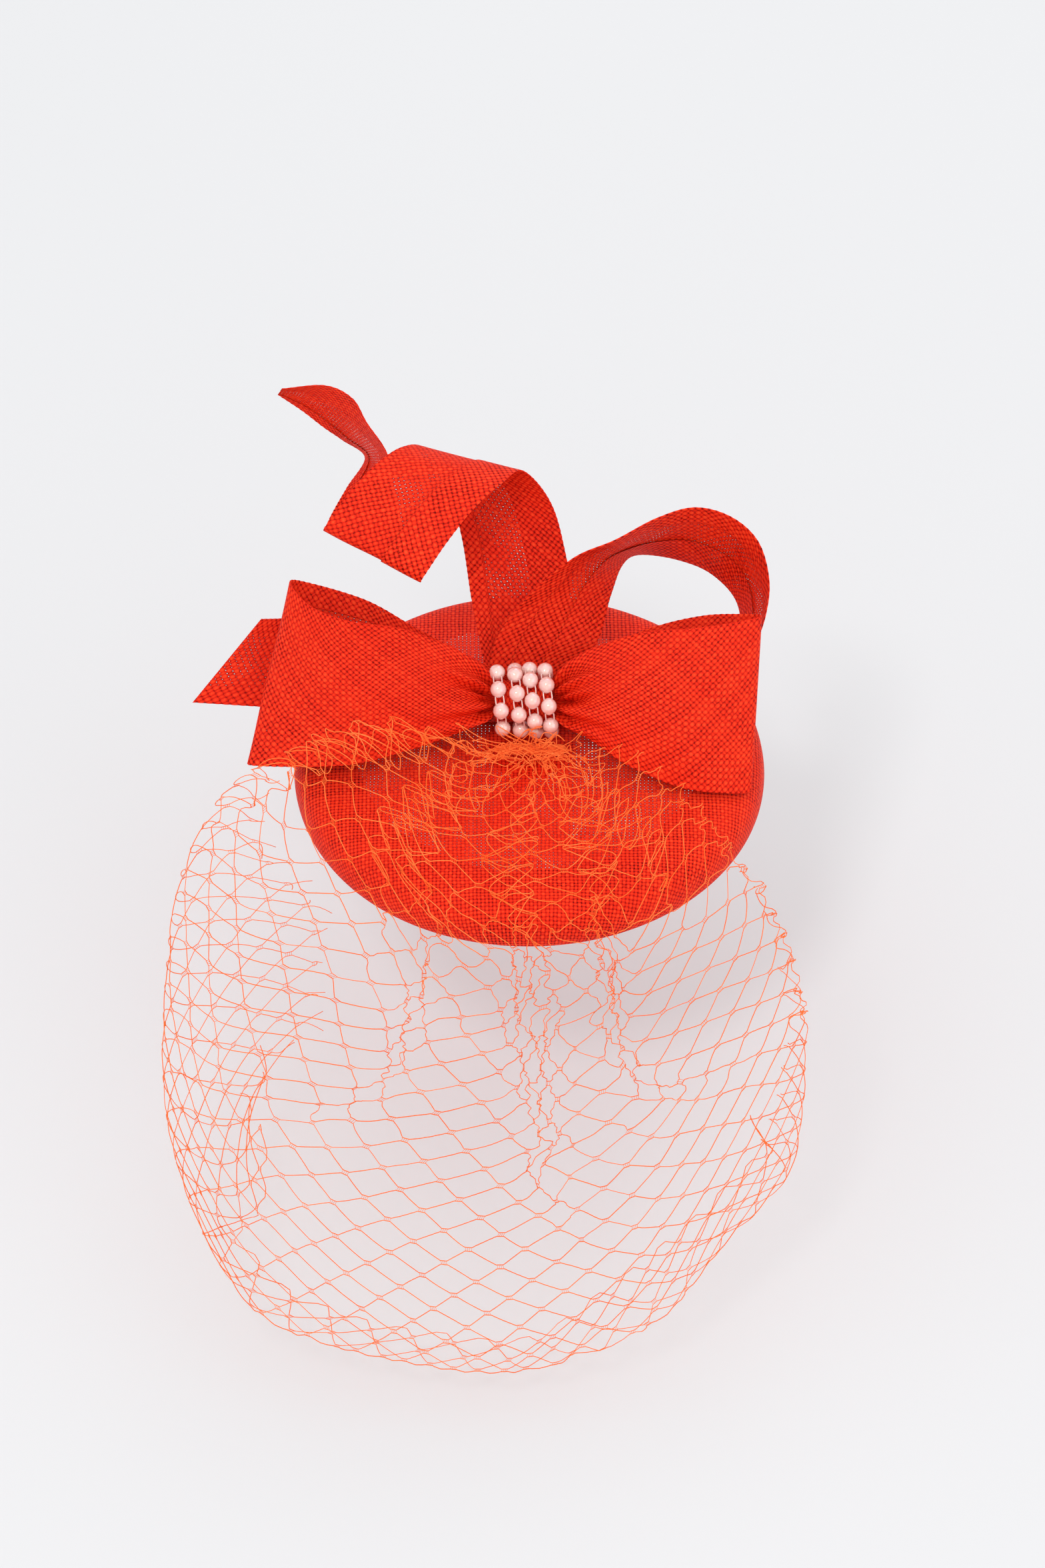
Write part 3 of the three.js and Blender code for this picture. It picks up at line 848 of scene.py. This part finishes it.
def bow_wrap(material):
    """A hemmed strip drawn round the bow's middle, in soft folds that run with it."""
    width, hem = KNOT["right"] - KNOT["left"], 4.0
    w, layers, cloth = fold_profile(width, (hem, hem), 0.45)
    angle = np.linspace(-0.15, 2 * math.pi + 0.15, 120)[:, None]
    lap = 0.35 * smoothstep(2 * math.pi - 0.3, 2 * math.pi + 0.1, angle)
    folds = 0.28 * np.sin(w * 2 * math.pi * 3.2 + 0.5) * (0.75 + 0.25 * np.cos(angle * 2 + 1))
    grow = -0.45 + folds - 0.4 * layers + lap
    x = KNOT["left"] + 0.1 + (width - 0.2) * w
    grid = oval(angle + math.pi, grow, x)
    round_mm = (KNOT["half_v"] + KNOT["half_n"]) / 2 * angle
    drawn_together = 1.7  # threads lie closer across the strip than in flat cloth
    threads = bias_threads(round_mm, cloth * drawn_together, 8.5)
    piece = cloth_piece("bow_wrap", grid, grid_faces(len(angle), len(w)), threads, material)


def pearl_angles(arcs_mm):
    """The angles round the knot at arc lengths from its front, along the pearls' oval."""
    reach = PEARL["clear"] + PEARL["radius"]
    angle = np.linspace(-math.pi, math.pi, 2001)
    v = (KNOT["half_v"] + reach) * np.sin(angle)
    n = (KNOT["half_n"] + reach) * np.cos(angle)
    lengths = arc_lengths(stacked(v, n))
    return np.interp(arcs_mm + lengths[len(lengths) // 2], lengths, angle)


def bead(centre, axis, radius):
    """A moulded pearl: a ball drawn slightly to a collar where the threads enter."""
    rings, sides, collar = 15, 24, 1.06
    polar = np.linspace(math.pi, 0, rings + 2)[1:-1, None]
    turn = 2 * math.pi * np.arange(sides) / sides
    rise = np.cos(polar)
    rise = rise + 0.1 * np.sign(rise) * np.abs(rise) ** 12
    local = around(np.sin(polar) ** 0.96, turn, rise)
    vertices, faces = round_mesh(local, (0, 0, -collar), (0, 0, collar))
    axis = Vector(axis).normalized()
    side = axis.orthogonal().normalized()
    return radius * vertices @ np.array([side, axis.cross(side), axis]) + centre, faces


def pearl_string(index, x, beads, shift, material):
    """Pearls moulded on two threads, which run over the knot like a ladder."""
    pitch, grow = PEARL["pitch"], PEARL["clear"] + PEARL["radius"]
    reach = (beads - 1) * pitch
    first = shift - reach / 2
    own = np.random.default_rng(20 + index)
    parts = []
    for angle in pearl_angles(first + pitch * np.arange(beads)):
        askew = x - PEARL_LEAN_MM * np.sin(angle)
        centre = oval(angle, grow, askew + own.uniform(-0.12, 0.12))
        axis = oval(angle + 0.02, grow, askew) - oval(angle, grow, askew)
        parts.append(bead(centre, axis, PEARL["radius"] * MM))
    along = np.linspace(0, reach, (beads - 1) * 14 + 1)
    angles = pearl_angles(first + along)
    near_bead = np.abs(np.cos(math.pi * along / pitch)) ** 3
    for side in (-0.5, 0.5):
        apart = side * PEARL["gap"] * (1 - 0.25 * near_bead)
        line = oval(angles, grow, x + apart - PEARL_LEAN_MM * np.sin(angles))
        parts.append(tube_mesh(line[None], PEARL["thread"] * MM, 8))
    vertices, faces = joined(parts)
    new_piece(
        f"pearl_string_{index}_trim", vertices, faces, material,
        replaces=f"pearl_string_{index}",
    )


# ---- the veil --------------------------------------------------------------
# The net's run from the gather to its turned-under hem, from one cut end round
# the front to the other. Points are (x, v, n) in mm.

VEIL_RUNS = [
    [
        [-9.5, 7, 22.3], [-46, 18, 47], [-86, 3, 44], [-96, -20, 22],
        [-76, -50, 0], [-80, -84, -3], [-98, -113, 3], [-92, -125, 10],
    ],
    [
        [-9, 7, 22.3], [-49, 20, 50], [-93, 4, 49], [-116, -27, 27],
        [-119, -70, 10], [-115, -112, 8], [-101, -146, 12], [-92, -149, 24],
    ],
    [
        [-8, 7, 22.3], [-47, 19, 52], [-90, 3, 56], [-117, -32, 47],
        [-126, -80, 40], [-124, -123, 38], [-112, -155, 36], [-99, -153, 44],
    ],
    [
        [-6.5, 7, 22.3], [-40, 13, 52], [-74, -11, 61], [-98, -46, 66],
        [-109, -95, 66], [-107, -140, 62], [-98, -178, 54], [-90, -170, 40],
    ],
    [
        [-4.5, 7, 22.3], [-30, 6, 47], [-52, -24, 63], [-68, -60, 72],
        [-79, -106, 74], [-82, -150, 70], [-80, -189, 59], [-74, -180, 43],
    ],
    [
        [-2, 7, 22.3], [-17, -3, 42], [-31, -28, 62], [-41, -64, 73],
        [-49, -110, 76], [-52, -158, 72], [-49, -197, 60], [-45, -188, 43],
    ],
    [
        [0.5, 7, 22.3], [-2, -6, 40], [-4, -31, 62], [-5, -66, 74],
        [-5, -112, 77], [-5, -160, 73], [-4, -201, 60], [-3, -192, 43],
    ],
    [
        [3, 7, 22.3], [13, -3, 42], [24, -28, 62], [31, -63, 72],
        [36, -107, 75], [39, -154, 71], [40, -188, 58], [31, -171, 46],
    ],
    [
        [5.5, 7, 22.3], [25, 5, 44], [45, -17, 59], [60, -46, 67],
        [69, -86, 69], [73, -126, 66], [67, -159, 56], [60, -147, 43],
    ],
    [
        [8, 7, 22.3], [30, 11, 45], [54, -10, 52], [79, -40, 51],
        [92, -75, 49], [94.5, -105, 47], [90, -135, 43], [80, -128, 34],
    ],
    [
        [10, 7, 22.3], [32, 13, 44], [57, -11, 48], [79, -43, 44],
        [88, -76, 36], [88.5, -101, 32], [83, -125, 30], [75, -115, 35],
    ],
]

NET_WIDTH_MM, NET_LENGTH_MM = 250.0, 380.0
CELL_MM = 19.0  # one cell's length along the net
STRANDS = 46
STRAND_SWING_MM = 2.1  # each way from a strand's middle line
KNOT_FLAT_MM = 2.4  # how far a strand runs straight at each knot
NET_THREAD_MM, RUNG_THREAD_MM = 0.165, 0.09  # radii
BROAD_FOLDS = 6  # at the gather, fading out further down
FOLD_TURN_MM = 5.0  # cloth used to turn back on itself once
MOST_TURNED_MM = 60.0  # the most cloth that one fold takes up
BUNCH_RIPPLE_MM = 9.0
RUFFLE_MM, STEEPEST_RUFFLE = 55.0, 0.7  # the film's, the second in radians
EVENED_MM = 60.0  # length over which the folds' heights are evened out
SLACK_MM = 7.0  # how far the threads sway across the cloth over the crown

# Where the net bunches into pleats. Each is a list of places down it: (share of
# the way to the hem, place round the veil from 0 to 1, half width in mm, depth
# from 0 to 1).
PLEATS = [
    [(0.30, 0.53, 16, 1.0), (0.42, 0.52, 9, 1.0), (0.50, 0.51, 7, 1.0),
     (0.56, 0.49, 7, 0.9), (0.61, 0.45, 8, 0.8), (0.64, 0.40, 8, 0.4), (0.66, 0.36, 6, 0.0)],
    [(0.30, 0.61, 20, 1.0), (0.45, 0.617, 15, 1.0), (0.55, 0.62, 12, 1.0),
     (0.64, 0.63, 9, 0.9), (0.72, 0.645, 6, 0.6), (0.80, 0.65, 4, 0.0)],
    [(0.30, 0.68, 16, 1.0), (0.42, 0.685, 9, 1.0), (0.50, 0.69, 7, 1.0),
     (0.56, 0.71, 7, 0.95), (0.60, 0.75, 9, 0.85), (0.63, 0.79, 9, 0.5), (0.66, 0.83, 6, 0.0)],
]


def veil_rows(rows):
    """The veil's smooth surface: points (u, row) and outward normals, rows evenly spaced."""
    u, w = np.linspace(0, 1, 241), np.linspace(0, 1, 260)
    runs = smooth_row(np.swapaxes(np.array(VEIL_RUNS, float), 0, 1), w)
    even = []
    for run in from_trim(smooth_row(np.swapaxes(runs, 0, 1), u)):
        lengths = arc_lengths(run)
        even.append(resampled(np.linspace(0, lengths[-1], rows), lengths, run))
    even = np.array(even)
    return even, -normals_of(even)


def broad_folds(q):
    """The folds laid in at the gather: place in mm along the cloth, share and side, per row."""
    own = np.random.default_rng(31)
    tracks = []
    for k in range(BROAD_FOLDS):
        at = (k + 0.5 + own.uniform(-0.18, 0.18)) / BROAD_FOLDS
        centre = NET_LENGTH_MM * at + own.uniform(-30, 30) * q
        share = own.uniform(0.7, 1.0) * smoothstep(0.46, 0.22, q)
        tracks.append((centre, share, 1 - 2 * (k % 2)))
    return tracks


def bunches(q, tables):
    """Where each row is drawn into a bunch: place and half width in mm, and depth.

    q is each row's share of the way to the hem, and tables holds the lengths
    round the veil to even stations, a column for each row.
    """
    stations, rows = np.arange(len(tables)), np.arange(len(q))
    found = []
    for pleat in PLEATS:
        down, *parts = np.transpose(pleat)
        place, half, peak = (np.interp(q, down, part) for part in parts)
        at = place * stations[-1]
        x = [np.interp(at[k], stations, tables[:, k]) for k in rows]
        found.append((np.array(x), half, peak * smoothstep(0.2, 0.36, q)))
    edge_mm, edge_half_mm = 7.0, 6.0  # the bunch along the last cut end
    depth = 0.75 * smoothstep(0.1, 0.3, q) * smoothstep(0.8, 0.66, q)
    found.append((tables[-1] - edge_mm, np.full(len(q), edge_half_mm), depth))
    return found


def bunch_depth(x, found):
    near = [peak * np.exp(-(((x - place) / half) ** 2)) for place, half, peak in found]
    return np.max(near, axis=0)


def folded(q, t, tables, squeeze):
    """A function from the cloth turned back, in mm, to the cloth's angles to its rows.

    There are broad folds at the gather, and ripples in the bunches further down.
    """
    turned_back, steepest_ripple = 0.97 * math.pi, 2.1  # angles
    tracks = broad_folds(q)
    found = [(place * squeeze, half, peak) for place, half, peak in bunches(q, tables)]
    step = t[1] - t[0]
    ripple = np.sin(2 * math.pi * t / BUNCH_RIPPLE_MM + 1.5 * smooth_noise(t, 15, 12))

    def angles(turned_mm):
        total = np.zeros((len(t), len(q)))
        for centre, share, side in tracks:
            back = turned_mm * share
            height = turned_back * (1 - np.exp(-back / 2.5))
            inside = (back + FOLD_TURN_MM) / 2 - np.abs(t[:, None] - centre)
            total += side * height * smoothstep(0, FOLD_TURN_MM, inside)
        steep = steepest_ripple * (1 - np.exp(-turned_mm / 4))
        x = np.zeros(len(q))
        for k in range(len(t)):
            total[k] += steep * bunch_depth(x, found) * ripple[k]
            x = x + np.cos(np.clip(total[k], -math.pi, math.pi)) * step
        return np.clip(total, -math.pi, math.pi)

    return angles


def ruffled(q, t):
    """A function from the steepest angle to the angles of an even ruffle."""
    swing = np.sin(2 * math.pi * t / RUFFLE_MM)[:, None] * np.ones_like(q)
    return lambda steepest: steepest * swing


def fitted_net(samples, rows, is_film=False):
    """The net's cloth in place: points for even steps along it and across it.

    Along each row the cloth follows angles to the row, folded as much as makes
    its full length fit the row's place; what is left over is evenly stretched.
    The film is ruffled instead. Also gives how far each point is drawn into a
    bunch, from 0 to 1.
    """
    surface, outward = veil_rows(rows)
    u = np.linspace(0, 1, len(surface))
    tables = np.stack([arc_lengths(surface[:, k]) / MM for k in range(rows)], axis=-1)
    q = np.linspace(0, 1, rows)
    t = np.linspace(0, NET_LENGTH_MM, samples)
    step = t[1] - t[0]
    window = max(3, int(EVENED_MM / step))
    kernel = np.hanning(window + 2)[1:-1]
    kernel /= kernel.sum()

    def smoothed(values):
        spread = np.pad(values, ((window // 2, window - window // 2 - 1), (0, 0)), "edge")
        return np.transpose([np.convolve(row, kernel, "valid") for row in spread.T])

    room = tables[-1]
    bunched = 1 - 0.1 * smoothstep(0.3, 0.42, q) * smoothstep(0.78, 0.6, q)
    drawn_tight = smoothstep(0.78, 0.9, q) + 0.85 * smoothstep(0.2, 0.0, q)
    aim = room * bunched + np.maximum(0, NET_LENGTH_MM - room) * drawn_tight
    angles_for = ruffled(q, t) if is_film else folded(q, t, tables, bunched)
    low, high = np.zeros(rows), np.full(rows, STEEPEST_RUFFLE if is_film else MOST_TURNED_MM)
    for _ in range(12):
        amount = (low + high) / 2
        too_long = np.cos(angles_for(amount)).sum(axis=0) * step > aim
        low, high = np.where(too_long, amount, low), np.where(too_long, high, amount)
    angles = angles_for(high)
    xs = np.cumsum(np.cos(angles), axis=0) * step
    xs = (xs - xs[0]) * (room / (xs[-1] - xs[0]))
    out = np.cumsum(np.sin(angles), axis=0) * step
    out = out - smoothed(out)
    raised = 1.3  # the folds stand out of the surface rather than sink into it
    out = out + raised * np.sqrt(smoothed(out**2))
    out = out * smoothstep(-0.02, 0.1, q)
    points = np.empty((samples, rows, 3))
    for k in range(rows):
        at = np.interp(xs[:, k], tables[:, k], u)
        lift = resampled(at, u, outward[:, k]) * out[:, k, None] * MM
        points[:, k] = resampled(at, u, surface[:, k]) + lift
    return points, bunch_depth(xs, bunches(q, tables))


def noise_field(samples, rows, knots_t, knots_r, seed):
    """Smooth random vectors over the cloth, each part from -1 to 1."""
    knots = np.random.default_rng(seed).uniform(-1, 1, (knots_t + 4, knots_r + 4, 3))
    along = np.swapaxes(smooth_row(knots, np.linspace(0, 1, samples)), 0, 1)
    return np.swapaxes(smooth_row(along, np.linspace(0, 1, rows)), 0, 1)


def cloth_point(grid, t_mm, r_mm):
    """Points of the cloth at lengths t along it and r across it, where it hangs slack."""
    samples, rows, _ = grid.shape
    share = r_mm / NET_WIDTH_MM
    slack = smoothstep(0.02, 0.12, share) * smoothstep(0.55, 0.3, share)
    places = np.arange(0.0, NET_LENGTH_MM + 1)
    sway = np.interp(t_mm, places, smooth_noise(places, 24, 17))
    r_mm = r_mm + SLACK_MM * sway * slack
    at_t = np.clip(t_mm / NET_LENGTH_MM, 0, 1) * (samples - 1)
    at_r = np.clip(r_mm / NET_WIDTH_MM, 0, 1) * (rows - 1)
    i = np.minimum(at_t.astype(int), samples - 2)
    j = np.minimum(at_r.astype(int), rows - 2)
    f, g = (at_t - i)[..., None], (at_r - j)[..., None]
    near = grid[i, j] * (1 - g) + grid[i, j + 1] * g
    far = grid[i + 1, j] * (1 - g) + grid[i + 1, j + 1] * g
    return near * (1 - f) + far * f


def strand_height(k, t_mm):
    """How far strand k lies across the net, in mm, at lengths t along it."""
    spacing = NET_WIDTH_MM / (STRANDS - 0.5)
    middle = spacing * (k + 0.25)
    half = CELL_MM / 2
    turned = np.abs(((t_mm - (k % 2) * half) / half + 1) % 2 - 1) * 2 - 1
    slope = half / (half - KNOT_FLAT_MM)
    return middle - STRAND_SWING_MM * np.clip(turned * slope, -1, 1)


def loose_end(end, before, longest_mm):
    """A cut thread's free end, which curls as it runs on past the knot."""
    reach = rng.uniform(0.2, 1.0) * longest_mm * MM
    curl = rng.uniform(-1, 1, 3)
    share = np.linspace(0, 1, 6)[1:, None]
    return end + reach * (unit(end - before) * share + 0.7 * curl * share**2)


def veil_strands(grid, material):
    """The net's long threads, each swinging between its two neighbours."""
    t = np.linspace(0, NET_LENGTH_MM, int(NET_LENGTH_MM / CELL_MM * 16) + 1)
    lines = []
    for k in range(STRANDS):
        line = cloth_point(grid, t, strand_height(k, t))
        start = loose_end(line[0], line[2], 7.0)
        stop = loose_end(line[-1], line[-3], 2.2)
        lines.append(np.vstack([start[::-1], line, stop]))
    vertices, faces = tube_mesh(np.array(lines), NET_THREAD_MM * MM, 4)
    return new_piece("veil_strands", vertices, faces, material, "veil")


def veil_knots(grid, material):
    """Where two strands meet they are tied side by side, with four short rungs."""
    offsets = np.array([-0.95, -0.32, 0.32, 0.95])
    half = CELL_MM / 2
    lines = []
    for k in range(STRANDS - 1):
        start = (k % 2) * half
        for node in np.arange(start, NET_LENGTH_MM - 1, CELL_MM):
            t = node + offsets
            t = t[(t > 0) & (t < NET_LENGTH_MM)]
            low = cloth_point(grid, t, strand_height(k, t))
            high = cloth_point(grid, t, strand_height(k + 1, t))
            lines.extend(np.stack([low, high], axis=1))
    vertices, faces = tube_mesh(np.array(lines), RUNG_THREAD_MM * MM, 3)
    return new_piece("veil_knots", vertices, faces, material, "veil")


def veil(material, film_material):
    """The net as threads, drawn on a film that is the cloth's own surface."""
    samples, rows = 761, 126
    grid, drawn_in = fitted_net(samples, rows)
    q = np.linspace(0, 1, rows)[None, :, None]
    settle = smoothstep(0, 0.05, q)
    billow = noise_field(samples, rows, 9, 6, 5) * (0.5 + 2.2 * smoothstep(0.5, 0.15, q))
    loose = 0.2 + 1.5 * smoothstep(0.16, 0.03, q) + 1.6 * drawn_in[:, :, None]
    tangle = noise_field(samples, rows, 60, 30, 6) * loose
    grid = grid + (billow + tangle) * settle * MM
    strands = veil_strands(grid, material)
    knots = veil_knots(grid, material)
    film_samples, film_rows = 300, 64
    film_grid, _ = fitted_net(film_samples, film_rows, is_film=True)
    film = new_piece(
        "veil_cloth", film_grid, grid_faces(film_samples, film_rows), film_material,
        "veil", replaces="veil_net",
    )


GATHERED_THREADS, LOOSE_LOOPS = 48, 44
GATHER = {"v": 10.4, "n": 20.6, "radius": 2.2, "left": -12, "right": 13}


def veil_gather(material):
    """The net's top edge, drawn up on a thread into a tight roll."""
    left, right, radius = GATHER["left"], GATHER["right"], GATHER["radius"]
    s = np.linspace(0, 1, 44)
    lines = []
    for k in range(GATHERED_THREADS):
        start, stop = np.sort(rng.uniform(0, 1, 2))
        start, stop = max(0, start - 0.25), min(1, stop + 0.25)
        along = start + (stop - start) * s
        angle = rng.uniform(0, 2 * math.pi) + 2.2 * smooth_noise(s, 0.2, 100 + k)
        swell = np.sqrt(np.clip(1 - np.abs(2 * along - 1) ** 5, 0.03, 1))
        depth = 0.55 + 0.45 * np.abs(smooth_noise(s, 0.15, 300 + k))
        reach = (radius - 0.1) * swell * depth
        x = left + (right - left) * along + 0.8 * smooth_noise(s, 0.12, 500 + k)
        v = GATHER["v"] + reach * np.cos(angle)
        n = GATHER["n"] + reach * np.sin(angle)
        lines.append(from_trim(stacked(x, v, n)))
    rise = np.sin(math.pi * s)
    for k in range(LOOSE_LOOPS):
        root, lean = rng.uniform(left, right), rng.uniform(-1, 1)
        reach, drop = rng.uniform(4, 17), rng.uniform(-0.65, 0.8)
        shaken = [smooth_noise(s, 0.2, 700 + 3 * k + c) for c in range(3)]
        shaken = np.array(shaken) * (1 + 0.16 * reach) * rise
        x = root + 1.3 * reach * lean * rise + 5 * (s - 0.5) + shaken[0]
        v = GATHER["v"] + reach * drop * rise + shaken[1]
        out = rng.uniform(0.25, 0.6) * reach * rise
        n = GATHER["n"] + radius + out + 0.5 * shaken[2]
        lines.append(from_trim(stacked(x, v, n)))
    vertices, faces = tube_mesh(np.array(lines), NET_THREAD_MM * MM, 4)
    new_piece(
        "veil_gather_roll", vertices, faces, material, replaces="veil_gather"
    )


# ---- finishing the small CAD pieces ----------------------------------------


def dress_node(name, material, levels=0, bevel_mm=0.0):
    """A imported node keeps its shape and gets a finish, with its facets smoothed."""
    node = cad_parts[name]
    node.data.materials.clear()
    node.data.materials.append(material)
    if bevel_mm:
        bevel = node.modifiers.new("soft_edges", "BEVEL")
        bevel.width = bevel_mm * MM
        bevel.segments = 2
        bevel.limit_method = "ANGLE"
        bevel.angle_limit = math.radians(45)
    if levels:
        smooth = node.modifiers.new("smooth", "SUBSURF")
        smooth.levels = smooth.render_levels = levels


# ---- the stage -------------------------------------------------------------


def paper_material():
    """Matt paper, very slightly clouded."""
    material, tree, shader = new_material("paper")
    colour = linear(226, 227, 229)
    low = [c * 0.985 for c in colour]
    paint(shader, noise(tree, object_place(tree), 1.5), (0.3, low), (0.7, colour))
    set_values(shader, {"Roughness": 0.9, "Specular IOR Level": 0.1})
    return material


def floor():
    """A pale sheet that lies just below the veil and sweeps up behind it."""
    size, bend, gap = 3.0, 1.6, 0.012
    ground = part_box("veil_net")[0].z - gap
    sweep = np.linspace(0, math.pi / 2, 12)
    y = np.concatenate([np.linspace(-size, size, 3), size + bend * np.sin(sweep)[1:]])
    z = np.concatenate([np.zeros(3), bend * (1 - np.cos(sweep))[1:]]) + ground
    x = np.linspace(-size * 2, size * 2, 3)
    grid = stacked(x[None, :], y[:, None], z[:, None])
    mesh = bpy.data.meshes.new("floor")
    mesh.from_pydata(grid.reshape(-1, 3).tolist(), [], grid_faces(len(y), len(x)))
    mesh.shade_smooth()
    mesh.materials.append(paper_material())
    sheet = bpy.data.objects.new("floor", mesh)
    bpy.context.scene.collection.objects.link(sheet)


def area_light(name, place, aim, size, power, colour=(1, 1, 1)):
    data = bpy.data.lights.new(name, "AREA")
    data.shape = "DISK"
    data.size = size
    data.energy = power
    data.color = colour
    light = bpy.data.objects.new(name, data)
    light.location = place
    light.rotation_euler = (Vector(aim) - Vector(place)).to_track_quat("-Z", "Y").to_euler()
    bpy.context.scene.collection.objects.link(light)


def studio():
    world = bpy.data.worlds.new("studio")
    world.use_nodes = True
    sky = world.node_tree.nodes["Background"]
    sky.inputs["Color"].default_value = (1.0, 1.0, 1.0, 1)
    sky.inputs["Strength"].default_value = 0.95
    bpy.context.scene.world = world
    aim = (0, 0, 0)
    area_light("key", (-0.5, -1.2, 2.0), aim, 0.5, 11, (1.0, 0.99, 0.98))
    area_light("fill", (1.5, -1.2, 1.0), aim, 1.6, 4, (0.98, 0.99, 1.0))
    area_light("rim", (0.4, 1.6, 1.3), aim, 1.2, 4)
    bpy.context.scene.view_settings.view_transform = "Standard"
    bpy.context.scene.view_settings.look = "None"


def camera():
    """Looks down at the trim's face squarely, from far enough to be nearly flat-on."""
    aim = Vector(from_trim([-2.3, -1.6, 30.0]))
    distance, view_height, sensor = 2.2, 0.543, 36.0
    back = Vector((0, -math.sin(TRIM_TILT), math.cos(TRIM_TILT)))
    data = bpy.data.cameras.new("camera")
    data.sensor_width = sensor
    data.lens = sensor * distance / view_height
    data.clip_start, data.clip_end = 0.05, 50
    view = bpy.data.objects.new("camera", data)
    view.location = aim + back * distance
    view.rotation_mode = "QUATERNION"
    view.rotation_quaternion = (-back).to_track_quat("-Z", "Y")
    bpy.context.scene.collection.objects.link(view)
    bpy.context.scene.camera = view


# ---- the whole headpiece ---------------------------------------------------


def build():
    camera()
    studio()
    floor()
    straw = sinamay("sinamay_straw")
    straw_base = sinamay("sinamay_base", (0.455, 0.43), painted_shade_beyond=44)
    crown(straw_base)
    facing(straw_base)
    head_ribbon(petersham_material())
    felt_backing(felt_material())
    trim_base(straw)
    left_pleats = bow_pleats([(0.42, 0.05, 3.4, 0.10), (0.80, -0.02, 1.6, 0.07)], 190)
    right_pleats = bow_pleats(
        [(0.55, -0.05, 3.2, 0.10), (0.86, 0.0, 1.5, 0.07), (0.2, 0.05, 1.0, 0.06)], 175
    )
    hemmed_strip(
        "bow_loop_left", LEFT_LOOP, 62, ((8, -1), (8, -1)), 1, straw, 1.5, left_pleats
    )
    hemmed_strip(
        "bow_loop_right", RIGHT_LOOP, 60, ((8, 1), (8, 1)), -1, straw, 2.5, right_pleats
    )
    hemmed_strip("bow_tail_left", LEFT_TAIL, 32, ((6, -1), (6, -1)), 1, straw, 3.5)
    hemmed_strip("curl_left", LEFT_CURL, 37, ((6, -1), (15, 1)), 1, straw, 4.5)
    hemmed_strip("curl_right", RIGHT_CURL, 34, ((8, -1), (14, -1)), 1, straw, 5.5)
    bow_wrap(straw)
    pearls = pearl_material()
    for k, string in enumerate(PEARL_STRINGS, 1):
        pearl_string(k, *string, pearls)
    net_dark, net_bright = linear(247, 102, 38), linear(255, 131, 68)
    netting = thread_material("netting", net_dark, net_bright, 0.5, 90, shine=0.1, glow=0.12)
    veil(netting, veil_film_material())
    veil_gather(netting)
    sewing = thread_material("sewing_thread", linear(190, 24, 14), linear(236, 60, 40), 0.6, 700)
    for name in ("comb_stitches_left", "comb_stitches_right", "gather_thread"):
        dress_node(name, sewing, levels=1)
    dress_node("rim_wire", wire_material(), levels=1)
    dress_node("hair_comb", comb_material(), bevel_mm=0.3)


build()
